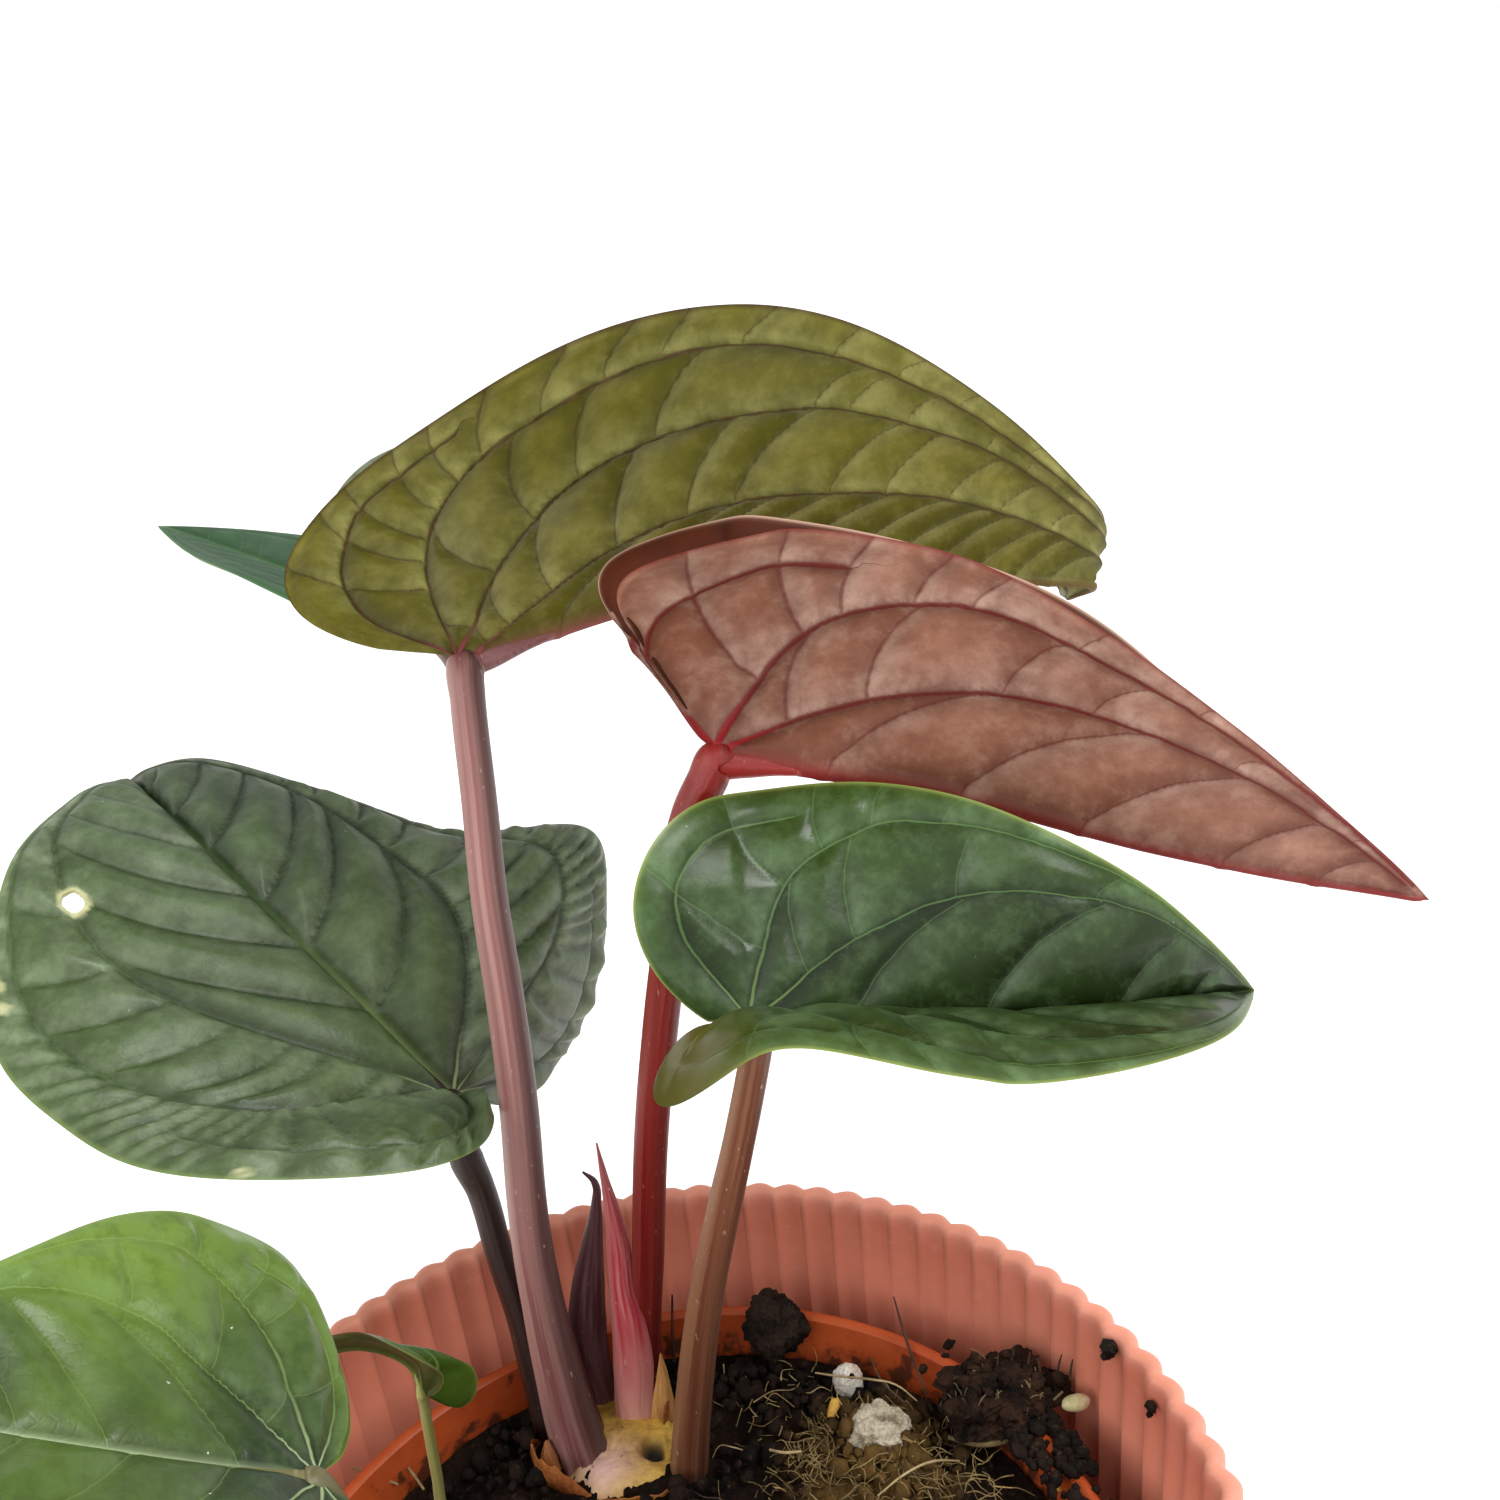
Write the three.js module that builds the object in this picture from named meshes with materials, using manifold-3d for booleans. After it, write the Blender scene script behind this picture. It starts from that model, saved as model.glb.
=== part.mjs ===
// Potted anthurium hybrid: seven heart-shaped leaves on a creeping stem base, in a nursery pot of peat
// that stands in a fluted cachepot. Millimetres, +Z up, origin at the middle of the cachepot's underside.
import * as THREE from 'three';
import { mergeVertices } from 'three/addons/utils/BufferGeometryUtils.js';
import Module from 'manifold-3d';

const wasm = await Module();
wasm.setup();

const { Vector3 } = THREE;
const radians = THREE.MathUtils.degToRad;

// Clearance kept between pieces that touch on the real plant
const GAP = 0.3;

// Cachepot: a tapered cup whose thin wall is pressed into upright half-round flutes
const CACHEPOT = {
  height: 125, topRadius: 75, footRadius: 70, wall: 3, floor: 3,
  flutes: 84, fluteDepth: 1.3, sidesPerFlute: 3, turn: 1.61,
};

// Nursery pot: a thin 12 cm growing pot with a rolled lip and drain holes in its floor
const NURSERY = {
  wall: 1.2, footRadius: 44, lipStart: 100, lipHeight: 108.7, shoulderRadius: 60.2, lipRadius: 63,
  mouthRadius: 60.5, sides: 48, drainHoles: 6, drainRadius: 4, drainRing: 28,
};

// Peat: it fills the pot to a few millimetres under the lip, with a crumbly, uneven top
const SOIL = { edgeHeight: 101.5, middleHeight: 103, unevenness: 1.1, sides: 48, rings: 8 };

// Rhizome: the corky creeping stem base, ringed by old leaf scars, half buried in the peat
const RHIZOME = { centre: [-4, 41.5, 96.5], reach: [13, 15, 8], scarDepth: 0.035, scarSpacing: 5 };

// Blades: outline of one half, x in lobe lengths behind the junction with the petiole and in blade
// lengths ahead of it, y in half widths. Rows of triangles run from the midrib to this margin.
const HALF_OUTLINE = [
  [0, 0], [-0.5, 0.1], [-0.92, 0.32], [-0.98, 0.6], [-0.62, 0.86], [0, 0.985], [0.22, 1],
  [0.45, 0.86], [0.68, 0.56], [0.86, 0.26], [0.95, 0.1], [1, 0],
];
const LOBE_OPENING = [0, 1, 1, 0.7, 0.3];
const BLADE = { thickness: 0.9, rowsPerSpan: 2, columns: 4, firstRow: 2, veinSlant: 0.12 };

// Each leaf: midrib from the junction to the tip, half width, basal lobe length, and for its left and
// right half, seen from the junction, in degrees: fold above the horizontal at the junction and at the
// tip, curl out to the margin, droop and pitch of the lobe behind the junction. The dark leaf and the small
// one twist too much for that: each has its two margins in space, a point for each of the outline, and the
// height of the crown between midrib and margin.
const LEAVES = {
  olive: {
    midrib: [[-6.6, 80.5, 228.4], [39.1, 83.8, 232.3], [98.2, 82.8, 223.7], [102.3, 94.6, 217.7]],
    halfWidth: 57, lobe: 26, opening: 0.03,
    left: { fold: [46, 18], curl: -28, droop: 0, pitch: -30 },
    right: { fold: [42, 81], curl: 1, droop: -4, pitch: -14 },
    petiole: [
      [-9.8, 41.6, 96, 4.9], [-10.2, 42, 100.5, 4.85], [-11.1, 43.1, 109, 4.5], [-11.7, 44.3, 118, 4],
      [-12.2, 46, 130, 3.4], [-12.1, 48.5, 143, 3.15], [-10.4, 53.4, 163, 3.05], [-9.7, 58.3, 178, 3],
      [-9.4, 64, 193, 2.9], [-8.4, 70.4, 207, 2.8], [-7.5, 77.3, 221.7, 2.8], [-6.7, 79.9, 227.4, 2.9],
    ],
    colour: '#7d8440', roughness: 0.5, stemColour: '#8d5457',
  },
  bronze: {
    midrib: [[26.3, 39.1, 219.1], [57.2, 36.2, 208.6], [88.3, 25.4, 196.8], [119.7, 15.4, 187.7]],
    halfWidth: 38.3, lobe: 25.2, opening: 0.21,
    left: { fold: [47.6, 45.4], curl: 10.4, droop: -18.7, pitch: -20 },
    right: { fold: [80.9, 78.3], curl: -29.5, droop: -16.4, pitch: -16 },
    petiole: [
      [2.2, 51.5, 98, 2.9], [2.4, 51, 104, 2.8], [2.8, 50, 114, 2.75], [5.6, 47.8, 133.9, 2.7],
      [8.7, 45.5, 155.8, 2.7], [11.8, 43.9, 172.3, 2.7], [15, 42.5, 187, 2.7], [20.6, 40.2, 209.5, 2.8],
      [23.8, 39.5, 215.3, 2.9], [25.8, 39.2, 218.4, 2.9],
    ],
    colour: '#9c6554', roughness: 0.45, stemColour: '#7c2426',
  },
  glossy: {
    midrib: [[23.5, 17.4, 188.9], [46.3, 14.4, 186], [68.6, 10.8, 184.5], [93, 15.6, 179.3]],
    halfWidth: 32.5, lobe: 12.6, opening: -0.07,
    left: { fold: [57, 94.5], curl: -18.7, droop: 21.7, pitch: 13.3 },
    right: { fold: [45.7, 11.8], curl: -34, droop: -23, pitch: 27.6 },
    petiole: [
      [4.6, 35.2, 94, 3.2], [5.5, 34.1, 99.3, 3.2], [8.2, 30.5, 118.5, 2.9], [12, 26.5, 140.1, 2.6],
      [16.6, 22.9, 159.3, 2.4], [19.3, 20.9, 169.9, 2.2], [22.4, 18.4, 183.3, 2.1], [23.4, 17.7, 187.8, 2.1],
    ],
    colour: '#35612f', roughness: 0.25, stemColour: '#8a5a40',
  },
  dark: {
    midrib: [[-22.2, 69.1, 156.3], [-42, 85.3, 180.1], [-61.2, 107.9, 196.3], [-77.1, 136.4, 200.2]],
    halfWidth: 52.6, lobe: 19.8, opening: 0, crown: 4,
    margin: {
      left: [
        [-22.2, 69.1, 156.3], [-16.4, 59.7, 159.9], [-14.2, 49.2, 162.9], [-17.4, 39.1, 164.8],
        [-29.6, 33.7, 167.9], [-55.4, 34.7, 173.9], [-72.5, 48, 176.8], [-86.8, 67.9, 184.2],
        [-87.1, 93.4, 201], [-81.8, 116.6, 204.4], [-79.6, 129.5, 202.5], [-77.1, 136.4, 200.2],
      ],
      right: [
        [-22.2, 69.1, 156.3], [-17.5, 76.6, 148.9], [-11.6, 86.9, 142.4], [-2.9, 97.4, 142.9],
        [5.7, 105.2, 151.9], [10.6, 111.1, 166.1], [9.4, 114.7, 181.9], [-16.2, 119.9, 183.7],
        [-38.8, 126, 194.4], [-59.7, 131.3, 203.4], [-71.1, 134.3, 203], [-77.1, 136.4, 200.2],
      ],
    },
    petiole: [
      [-14.5, 46, 95, 2.4], [-15.3, 47.5, 99.9, 2.4], [-16, 50.1, 107.3, 2.3], [-16.5, 52.5, 113.8, 2.3],
      [-16.9, 54.8, 120.3, 2.3], [-18.5, 58.7, 131, 2.3], [-19.7, 62.5, 141.7, 2.4],
      [-21.1, 64.3, 146.7, 2.8], [-22, 66.6, 151.5, 2.3], [-22.2, 68.9, 155.8, 2.3],
    ],
    colour: '#2f4f33', roughness: 0.4, stemColour: '#5d4a4b',
  },
  pale: {
    midrib: [[-37.9, -7.4, 158.9], [-51.1, -10.9, 170.1], [-66.1, -12.7, 181.2], [-84, -10.6, 191.5]],
    halfWidth: 37.4, lobe: 9, opening: 0,
    left: { fold: [5, 5], curl: -10, droop: 0, pitch: 0 },
    right: { fold: [5, 8], curl: 12, droop: -9, pitch: 1 },
    petiole: [
      [-7.5, 31.5, 96, 2.5], [-8.5, 29, 101, 2.4], [-18, 10, 106, 2.3], [-27, -1.5, 121, 2.2],
      [-33, -6.5, 139, 2.1], [-37.6, -7.4, 158, 2.1],
    ],
    colour: '#5c8a45', roughness: 0.35, stemColour: '#7a6a48',
  },
  rear: {
    midrib: [[-20, 103, 231.5], [-33, 113.5, 238.5], [-46.5, 125, 243.5], [-59.6, 135.6, 248.4]],
    halfWidth: 20, lobe: 13, opening: 0,
    left: { fold: [19, 15], curl: 2.5, droop: 0, pitch: 0 },
    right: { fold: [9, 10], curl: -13, droop: 11, pitch: -9 },
    petiole: [
      [-11, 52, 96, 1.9], [-11.3, 51, 103, 1.8], [-12, 50.3, 113, 1.7], [-12.3, 50.5, 123, 1.6],
      [-12.5, 52.4, 137.4, 1.5], [-10.7, 58, 160, 1.5], [-10, 63, 175.4, 1.5], [-9.6, 68.9, 190.5, 1.5],
      [-8.6, 75.4, 205.4, 1.5], [-8.2, 81, 216.5, 1.5], [-8.3, 85, 221.3, 1.5],
      [-9.6, 90, 226, 1.5], [-13.4, 95.5, 229, 1.5], [-19.3, 102.3, 231.2, 1.6],
    ],
    colour: '#3c6339', roughness: 0.4, stemColour: '#6d5148',
  },
  small: {
    midrib: [[-30.1, 28.5, 134.1], [-31, 27.6, 140.5], [-36.5, 25, 147.6], [-47, 21.5, 151]],
    halfWidth: 8.5, lobe: 7, opening: 0.1, crown: 0.5,
    margin: {
      left: [
        [-30.1, 28.5, 134.1], [-29.5, 28, 133.8], [-28.6, 27.4, 134.3], [-27.4, 26.8, 135.5],
        [-26.5, 26, 137.6], [-26.6, 25.2, 140], [-28.2, 24, 143.2], [-30.6, 22.6, 147.5],
        [-33.9, 21.2, 152.5], [-36.3, 20.4, 154.2], [-39.8, 20.6, 153.9], [-47, 21.5, 151],
      ],
      right: [
        [-30.1, 28.5, 134.1], [-29.2, 30.3, 132.3], [-27.8, 31.4, 128.4], [-26.2, 32.5, 126],
        [-24.1, 33.5, 126.4], [-23.1, 34, 128.7], [-23.6, 33.5, 132.6], [-27.1, 31.5, 137.4],
        [-32.3, 28.5, 142.8], [-35.9, 25, 148.9], [-39.9, 22.6, 151.6], [-47, 21.5, 151],
      ],
    },
    petiole: [
      [-31, 37.5, 93, 0.9], [-31.5, 37, 99, 0.9], [-32.6, 35.8, 104, 0.9], [-32, 34, 113.5, 0.85],
      [-31, 31, 126.5, 0.8], [-30.4, 29, 132.9, 0.8],
    ],
    colour: '#4d6b2c', roughness: 0.4, stemColour: '#a7a85c',
  },
};
const STEM = { sides: 8, stepLength: 9 };

// Sheaths and the rolled new leaf at the foot of the petioles: route with radius, and how flat they are
const SHEATHS = {
  new_leaf_spear: {
    route: [
      [-5.2, 52, 99, 2], [-5.9, 52.5, 106.1, 2.1], [-6.5, 53, 112.3, 2.6], [-6.2, 53.5, 118.3, 2.9],
      [-5, 54, 124.8, 2.6], [-3.2, 54.5, 132, 1.7], [-1.4, 55, 139.2, 0.9], [-1, 55.5, 143.2, 0.6],
      [-2.6, 56, 145.4, 0.35],
    ],
    flat: 0.8, colour: '#4f2b2f', roughness: 0.45,
  },
  pink_sheath: {
    route: [
      [-1.2, 45.6, 101, 3.2], [-0.6, 45.8, 107, 3.4], [0.2, 46.3, 113, 3.5], [0.6, 47.2, 121.7, 2.9],
      [0.5, 48, 127.2, 2.1], [1, 48.8, 134.5, 2], [1, 49.5, 141.8, 1.3], [0.7, 50.2, 147.1, 0.7],
      [0.4, 51, 153.7, 0.3],
    ],
    flat: 0.6, colour: '#b5575c', roughness: 0.5,
  },
  tan_sheath: {
    route: [[3.2, 44.6, 101, 2.4], [3.9, 45, 106, 1.9], [4.5, 45.6, 110.5, 1], [4.8, 46, 114.5, 0.3]],
    flat: 0.6, colour: '#b97a3c', roughness: 0.7,
  },
  dried_sheath: {
    route: [
      [-14.8, 38.4, 97.5, 2.1], [-15.4, 39.5, 101, 1.9], [-15.7, 40.6, 104.5, 1.5], [-15.5, 41.6, 107, 0.5],
    ],
    flat: 0.7, colour: '#9a5526', roughness: 0.8,
  },
};

// Loose pieces of the mix that lie on the peat: centre, half sizes, roughness of the shape
const LUMPS = {
  bark_lump: { centre: [25, 52, 109], half: [5, 4.6, 6], rough: 0.12, seed: 3, colour: '#2b211c' },
  white_bead: { centre: [34.8, 41.2, 103.6], half: [2.6, 2.4, 2.8], rough: 0.04, seed: 5, colour: '#dedad0' },
  pumice: { centre: [36.7, 29.6, 102.8], half: [5, 4.6, 4.2], rough: 0.14, seed: 9, colour: '#a39e91' },
  fibre_clump: { centre: [56.4, 25.4, 110.5], half: [8.6, 6, 5], rough: 0.16, seed: 12, colour: '#33271f' },
  cream_seed: { centre: [64.7, 20.1, 110.9], half: [2.2, 1.6, 1.5], rough: 0.02, seed: 2, colour: '#d9cfa8' },
};

// A closed indexed mesh with shared corners, no collapsed triangles, and faces that point out
function closed(geometry) {
  const bare = geometry.clone();
  bare.deleteAttribute('normal');
  bare.deleteAttribute('uv');
  const merged = mergeVertices(bare, 1e-4);
  const position = merged.attributes.position;
  const corner = [new Vector3(), new Vector3(), new Vector3()];
  const triangles = [];
  let volume = 0;
  for (let i = 0; i < merged.index.count; i += 3) {
    const triangle = [0, 1, 2].map((k) => merged.index.getX(i + k));
    if (new Set(triangle).size < 3) continue;
    triangles.push(triangle);
    triangle.forEach((vertex, k) => corner[k].fromBufferAttribute(position, vertex));
    volume += corner[0].dot(corner[1].clone().cross(corner[2]));
  }
  const outward = volume < 0 ? triangles.map(([a, b, c]) => [a, c, b]) : triangles;
  merged.setIndex(outward.flat());
  return merged;
}

function solidOf(geometry) {
  const mesh = closed(geometry);
  return new wasm.Manifold(new wasm.Mesh({
    numProp: 3,
    vertProperties: new Float32Array(mesh.attributes.position.array),
    triVerts: new Uint32Array(mesh.index.array),
  }));
}

function geometryOf(solid) {
  const { vertProperties, triVerts } = solid.getMesh();
  const geometry = new THREE.BufferGeometry();
  geometry.setAttribute('position', new THREE.BufferAttribute(vertProperties, 3));
  geometry.setIndex(new THREE.BufferAttribute(triVerts, 1));
  geometry.computeVertexNormals();
  return geometry;
}

// After a cut, the body itself without the scraps on the far side of the cutter
function largestPiece(solid) {
  return solid.decompose().sort((a, b) => b.volume() - a.volume())[0];
}

function cutBy(solid, cutters) {
  return largestPiece(cutters.reduce((rest, cutter) => rest.subtract(cutter), solid));
}

// A turned shape: the profile is pairs of radius and height, turned about the upright axis
function turned(profile, sides) {
  const points = profile.map(([radius, height]) => new THREE.Vector2(radius, height));
  return new THREE.LatheGeometry(points, sides).rotateX(Math.PI / 2);
}

function moveVertices(geometry, move) {
  const position = geometry.attributes.position;
  const vertex = new Vector3();
  for (let i = 0; i < position.count; i++) {
    move(vertex.fromBufferAttribute(position, i));
    position.setXYZ(i, vertex.x, vertex.y, vertex.z);
  }
  return geometry;
}

function cachepotGeometry() {
  const { height, topRadius, footRadius, wall, floor, flutes, fluteDepth, sidesPerFlute, turn } = CACHEPOT;
  const profile = [
    [0, 0], [footRadius, 0], [topRadius, height - 1], [topRadius - wall / 2, height],
    [topRadius - wall, height - 1], [footRadius - wall, floor], [0, floor],
  ];
  const cup = moveVertices(turned(profile, flutes * sidesPerFlute), (vertex) => {
    const angle = Math.atan2(vertex.x, -vertex.y);
    const radius = Math.hypot(vertex.x, vertex.y);
    if (radius < 1) return;
    const stretch = 1 + fluteDepth * Math.abs(Math.sin(angle * flutes / 2)) / radius;
    vertex.set(vertex.x * stretch, vertex.y * stretch, vertex.z);
  });
  return cup.rotateZ(radians(turn));
}

const nurseryFoot = CACHEPOT.floor + GAP;

function nurserySolid() {
  const { wall, footRadius, lipStart, lipHeight, shoulderRadius, lipRadius, mouthRadius, sides } = NURSERY;
  const profile = [
    [0, nurseryFoot], [footRadius, nurseryFoot], [shoulderRadius, lipStart], [lipRadius, lipStart + 1.5],
    [lipRadius, lipHeight - 0.8], [lipRadius - 0.9, lipHeight], [mouthRadius, lipHeight - 0.4],
    [shoulderRadius - wall, lipStart - 0.5], [footRadius - wall, nurseryFoot + wall], [0, nurseryFoot + wall],
  ];
  const holes = Array.from({ length: NURSERY.drainHoles }, (_, i) => {
    const angle = (i / NURSERY.drainHoles) * Math.PI * 2;
    const hole = new THREE.CylinderGeometry(NURSERY.drainRadius, NURSERY.drainRadius, wall * 4, 16);
    hole.rotateX(Math.PI / 2);
    hole.translate(Math.cos(angle) * NURSERY.drainRing, Math.sin(angle) * NURSERY.drainRing, nurseryFoot);
    return solidOf(hole);
  });
  return holes.reduce((pot, hole) => pot.subtract(hole), solidOf(turned(profile, sides)));
}

// Height that the crumbly top adds at a place, fading out at the pot's wall
function soilBump(x, y) {
  const waves = Math.sin(x * 0.19 + 1.3) * Math.cos(y * 0.23 - 0.4) + 0.6 * Math.sin(x * 0.43 - y * 0.37);
  const fade = Math.min(1, (NURSERY.shoulderRadius - Math.hypot(x, y)) / 12);
  return SOIL.unevenness * waves * fade;
}

function soilSolid() {
  const bottom = nurseryFoot + NURSERY.wall + GAP;
  const inset = NURSERY.wall + GAP;
  const footRadius = NURSERY.footRadius - inset;
  const edgeRadius = NURSERY.shoulderRadius - inset - 0.2;
  const profile = [[0, bottom], [footRadius, bottom]];
  for (let ring = SOIL.rings; ring >= 0; ring--) {
    const share = ring / SOIL.rings;
    const height = SOIL.middleHeight + (SOIL.edgeHeight - SOIL.middleHeight) * share * share;
    profile.push([edgeRadius * share, height]);
  }
  return solidOf(moveVertices(turned(profile, SOIL.sides), (vertex) => {
    if (vertex.z > bottom + 1) vertex.z += soilBump(vertex.x, vertex.y);
  }));
}

function rhizomeSolid(grow = 0) {
  const { centre, reach, scarDepth, scarSpacing } = RHIZOME;
  const ball = new THREE.SphereGeometry(1, 20, 12);
  return solidOf(moveVertices(ball, (vertex) => {
    const ring = 1 + scarDepth * Math.sin((vertex.y * reach[1] + vertex.x * 4) * Math.PI / scarSpacing);
    vertex.x *= reach[0] * ring + grow;
    vertex.y *= reach[1] + grow;
    vertex.z *= reach[2] * ring + grow;
    vertex.add(new Vector3(...centre));
  }));
}

// A tube along a route of [x, y, z, radius], as an extruded round section swelled to its own width
function tubeSolid(route, grow = 0, flat = 1) {
  const path = new THREE.CatmullRomCurve3(route.map(([x, y, z]) => new Vector3(x, y, z)));
  const steps = Math.max(6, Math.round(path.getLength() / STEM.stepLength));
  const section = new THREE.Shape(Array.from({ length: STEM.sides }, (_, i) => {
    const angle = (i / STEM.sides) * Math.PI * 2;
    return new THREE.Vector2(Math.cos(angle), Math.sin(angle));
  }));
  const tube = new THREE.ExtrudeGeometry(section, { steps, extrudePath: path, bevelEnabled: false });
  const centres = path.getSpacedPoints(steps);
  const radii = centres.map((_, i) => {
    const place = path.getUtoTmapping(i / steps) * (route.length - 1);
    const before = Math.min(Math.floor(place), route.length - 2);
    return THREE.MathUtils.lerp(route[before][3], route[before + 1][3], place - before) + grow;
  });
  return solidOf(moveVertices(tube, (vertex) => {
    const distances = centres.map((centre) => centre.distanceTo(vertex));
    const ring = distances.indexOf(Math.min(...distances));
    vertex.sub(centres[ring]).multiplyScalar(radii[ring]);
    vertex.y *= flat;
    vertex.add(centres[ring]);
  }));
}

// A rounded stone or crumb with dents, from a seeded sum of waves over its surface
function lumpSolid({ centre, half, rough, seed }, grow = 0) {
  const ball = new THREE.IcosahedronGeometry(1, 2);
  return solidOf(moveVertices(ball, (vertex) => {
    const dents = [vertex.x * 4.1 + seed, vertex.y * 3.7 + seed * 2, vertex.z * 5.3 + seed * 3];
    const size = 1 + rough * dents.reduce((sum, wave) => sum + Math.sin(wave), 0) / 2;
    vertex.set(
      centre[0] + vertex.x * (half[0] * size + grow),
      centre[1] + vertex.y * (half[1] * size + grow),
      centre[2] + vertex.z * (half[2] * size + grow),
    );
  }));
}

// A place on a blade's middle surface: x along the blade from the junction, y out from the midrib, in
// millimetres measured flat, on the left (side 1) or the right (side -1) half
function bladePoint(leaf, path, length, x, y, side) {
  const along = Math.min(Math.max(x / length, 0), 1);
  const tangent = path.getTangentAt(along);
  const across = new Vector3(0, 0, 1).cross(tangent).normalize();
  const up = tangent.clone().cross(across);
  const half = side > 0 ? leaf.left : leaf.right;
  const back = Math.max(-x, 0);
  const bend = radians(half.pitch) / leaf.lobe + 1e-7;
  const turn = bend * back;
  const spot = path.getPointAt(along);
  spot.addScaledVector(tangent, -Math.sin(turn) / bend);
  spot.addScaledVector(up, -(1 - Math.cos(turn)) / bend);
  const raised = up.clone().multiplyScalar(Math.cos(turn)).addScaledVector(tangent, -Math.sin(turn));
  const droop = half.droop * back / leaf.lobe;
  const fold = radians(THREE.MathUtils.lerp(half.fold[0], half.fold[1], along) + droop);
  const curl = radians(half.curl);
  const reach = (curl * y) / leaf.halfWidth;
  const radius = leaf.halfWidth / curl;
  spot.addScaledVector(across, side * radius * (Math.sin(fold + reach) - Math.sin(fold)));
  return spot.addScaledVector(raised, -radius * (Math.cos(fold + reach) - Math.cos(fold)));
}

function smoothCurve(points) {
  return new THREE.CatmullRomCurve3(points.map((p) => new Vector3(...p)), false, 'catmullrom', 0.5);
}

// The same for a leaf with its margins in space: from a place on the midrib out to a point of the margin,
// where the leaf is that share of its full width wide
function crownedPoint(leaf, path, along, edge, reach, out) {
  const tangent = path.getTangentAt(along);
  const across = new Vector3(0, 0, 1).cross(tangent).normalize();
  const up = tangent.clone().cross(across);
  const spot = path.getPointAt(along).lerp(edge, out);
  return spot.addScaledVector(up, leaf.crown * reach * 4 * out * (1 - out));
}

// Both halves of a blade's middle surface as one open sheet, its faces pointing to the upper side
function bladeSheet(leaf) {
  const path = smoothCurve(leaf.midrib);
  const length = path.getLength();
  const outline = smoothCurve(HALF_OUTLINE.map(([x, y], i) => {
    return [x, y + (LOBE_OPENING[i] ?? 0) * leaf.opening, 0];
  }));
  const lastRow = (HALF_OUTLINE.length - 1) * BLADE.rowsPerSpan;
  const points = [];
  const triangles = [];
  for (const side of [1, -1]) {
    const first = points.length;
    const edge = leaf.margin && smoothCurve(side > 0 ? leaf.margin.left : leaf.margin.right);
    for (let row = BLADE.firstRow; row <= lastRow; row++) {
      const margin = outline.getPoint(row / lastRow);
      const marginX = margin.x * (margin.x < 0 ? leaf.lobe : length);
      const share = THREE.MathUtils.clamp((marginX / length - BLADE.veinSlant) / (1 - BLADE.veinSlant), 0, 1);
      const spineX = length * share;
      for (let column = 0; column <= BLADE.columns; column++) {
        const out = column / BLADE.columns;
        const x = THREE.MathUtils.lerp(spineX, marginX, out);
        points.push(edge
          ? crownedPoint(leaf, path, share, edge.getPoint(row / lastRow), margin.y, out)
          : bladePoint(leaf, path, length, x, margin.y * leaf.halfWidth * out, side));
      }
    }
    const wide = BLADE.columns + 1;
    for (let row = 0; row < lastRow - BLADE.firstRow; row++) {
      for (let column = 0; column < BLADE.columns; column++) {
        const a = first + row * wide + column;
        const corners = [a, a + wide, a + wide + 1, a + 1];
        const [p, q, r, s] = side > 0 ? corners : corners.reverse();
        triangles.push([p, q, r], [p, r, s]);
      }
    }
  }
  const sheet = new THREE.BufferGeometry().setFromPoints(points);
  sheet.setIndex(triangles.flat());
  return mergeVertices(sheet, 1e-4);
}

// The sheet given its thickness, with alike triangles on both faces and a strip round the margin
function bladeSolid(leaf, grow = 0) {
  const sheet = bladeSheet(leaf);
  const corners = sheet.attributes.position;
  const point = (i) => new Vector3().fromBufferAttribute(corners, i);
  const triangles = [];
  for (let i = 0; i < sheet.index.count; i += 3) {
    const triangle = [0, 1, 2].map((k) => sheet.index.getX(i + k));
    if (new Set(triangle).size === 3) triangles.push(triangle);
  }
  const normals = Array.from({ length: corners.count }, () => new Vector3());
  const faces = triangles.map(([a, b, c]) => point(b).sub(point(a)).cross(point(c).sub(point(a))));
  triangles.forEach((triangle, i) => triangle.forEach((vertex) => normals[vertex].add(faces[i])));
  normals.forEach((normal) => normal.normalize());
  const mitre = normals.map(() => 1);
  triangles.forEach((triangle, i) => triangle.forEach((vertex) => {
    mitre[vertex] = Math.min(mitre[vertex], normals[vertex].dot(faces[i].clone().normalize()));
  }));
  const edges = new Map();
  for (const [a, b, c] of triangles) {
    for (const [from, to] of [[a, b], [b, c], [c, a]]) edges.set(`${from},${to}`, [from, to]);
  }
  const rim = [...edges.values()].filter(([from, to]) => !edges.has(`${to},${from}`));
  const outward = normals.map(() => new Vector3());
  for (const [from, to] of rim) {
    const sideways = point(to).sub(point(from)).cross(normals[from]).normalize();
    outward[from].add(sideways);
    outward[to].add(sideways);
  }
  const half = BLADE.thickness / 2 + grow;
  const layer = (sign) => normals.map((normal, i) => {
    const place = point(i).addScaledVector(normal, sign * half / Math.max(mitre[i], 0.5));
    return place.addScaledVector(outward[i].normalize(), grow);
  });
  const below = corners.count;
  const solid = new THREE.BufferGeometry().setFromPoints([...layer(1), ...layer(-1)]);
  const skin = [
    ...triangles,
    ...triangles.map(([a, b, c]) => [c + below, b + below, a + below]),
    ...rim.flatMap(([from, to]) => [[to, from, from + below], [to, from + below, to + below]]),
  ];
  solid.setIndex(skin.flat());
  return solidOf(solid);
}

function material(colour, roughness) {
  return new THREE.MeshStandardMaterial({ color: colour, roughness, metalness: 0 });
}

const plant = new THREE.Group();

function addPiece(name, geometry, colour, roughness) {
  const mesh = new THREE.Mesh(geometry, material(colour, roughness));
  mesh.name = name;
  plant.add(mesh);
}

// Pots
addPiece('cachepot', closed(cachepotGeometry()), '#c1705d', 0.55);
const nursery = nurserySolid();
addPiece('nursery_pot', geometryOf(nursery), '#b4491f', 0.5);

// Stem base, then the petioles, each cut free of the base, of its own blade and of its neighbours
const wideRhizome = rhizomeSolid(GAP);
addPiece('rhizome', geometryOf(rhizomeSolid()), '#b08a4e', 0.85);

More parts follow.
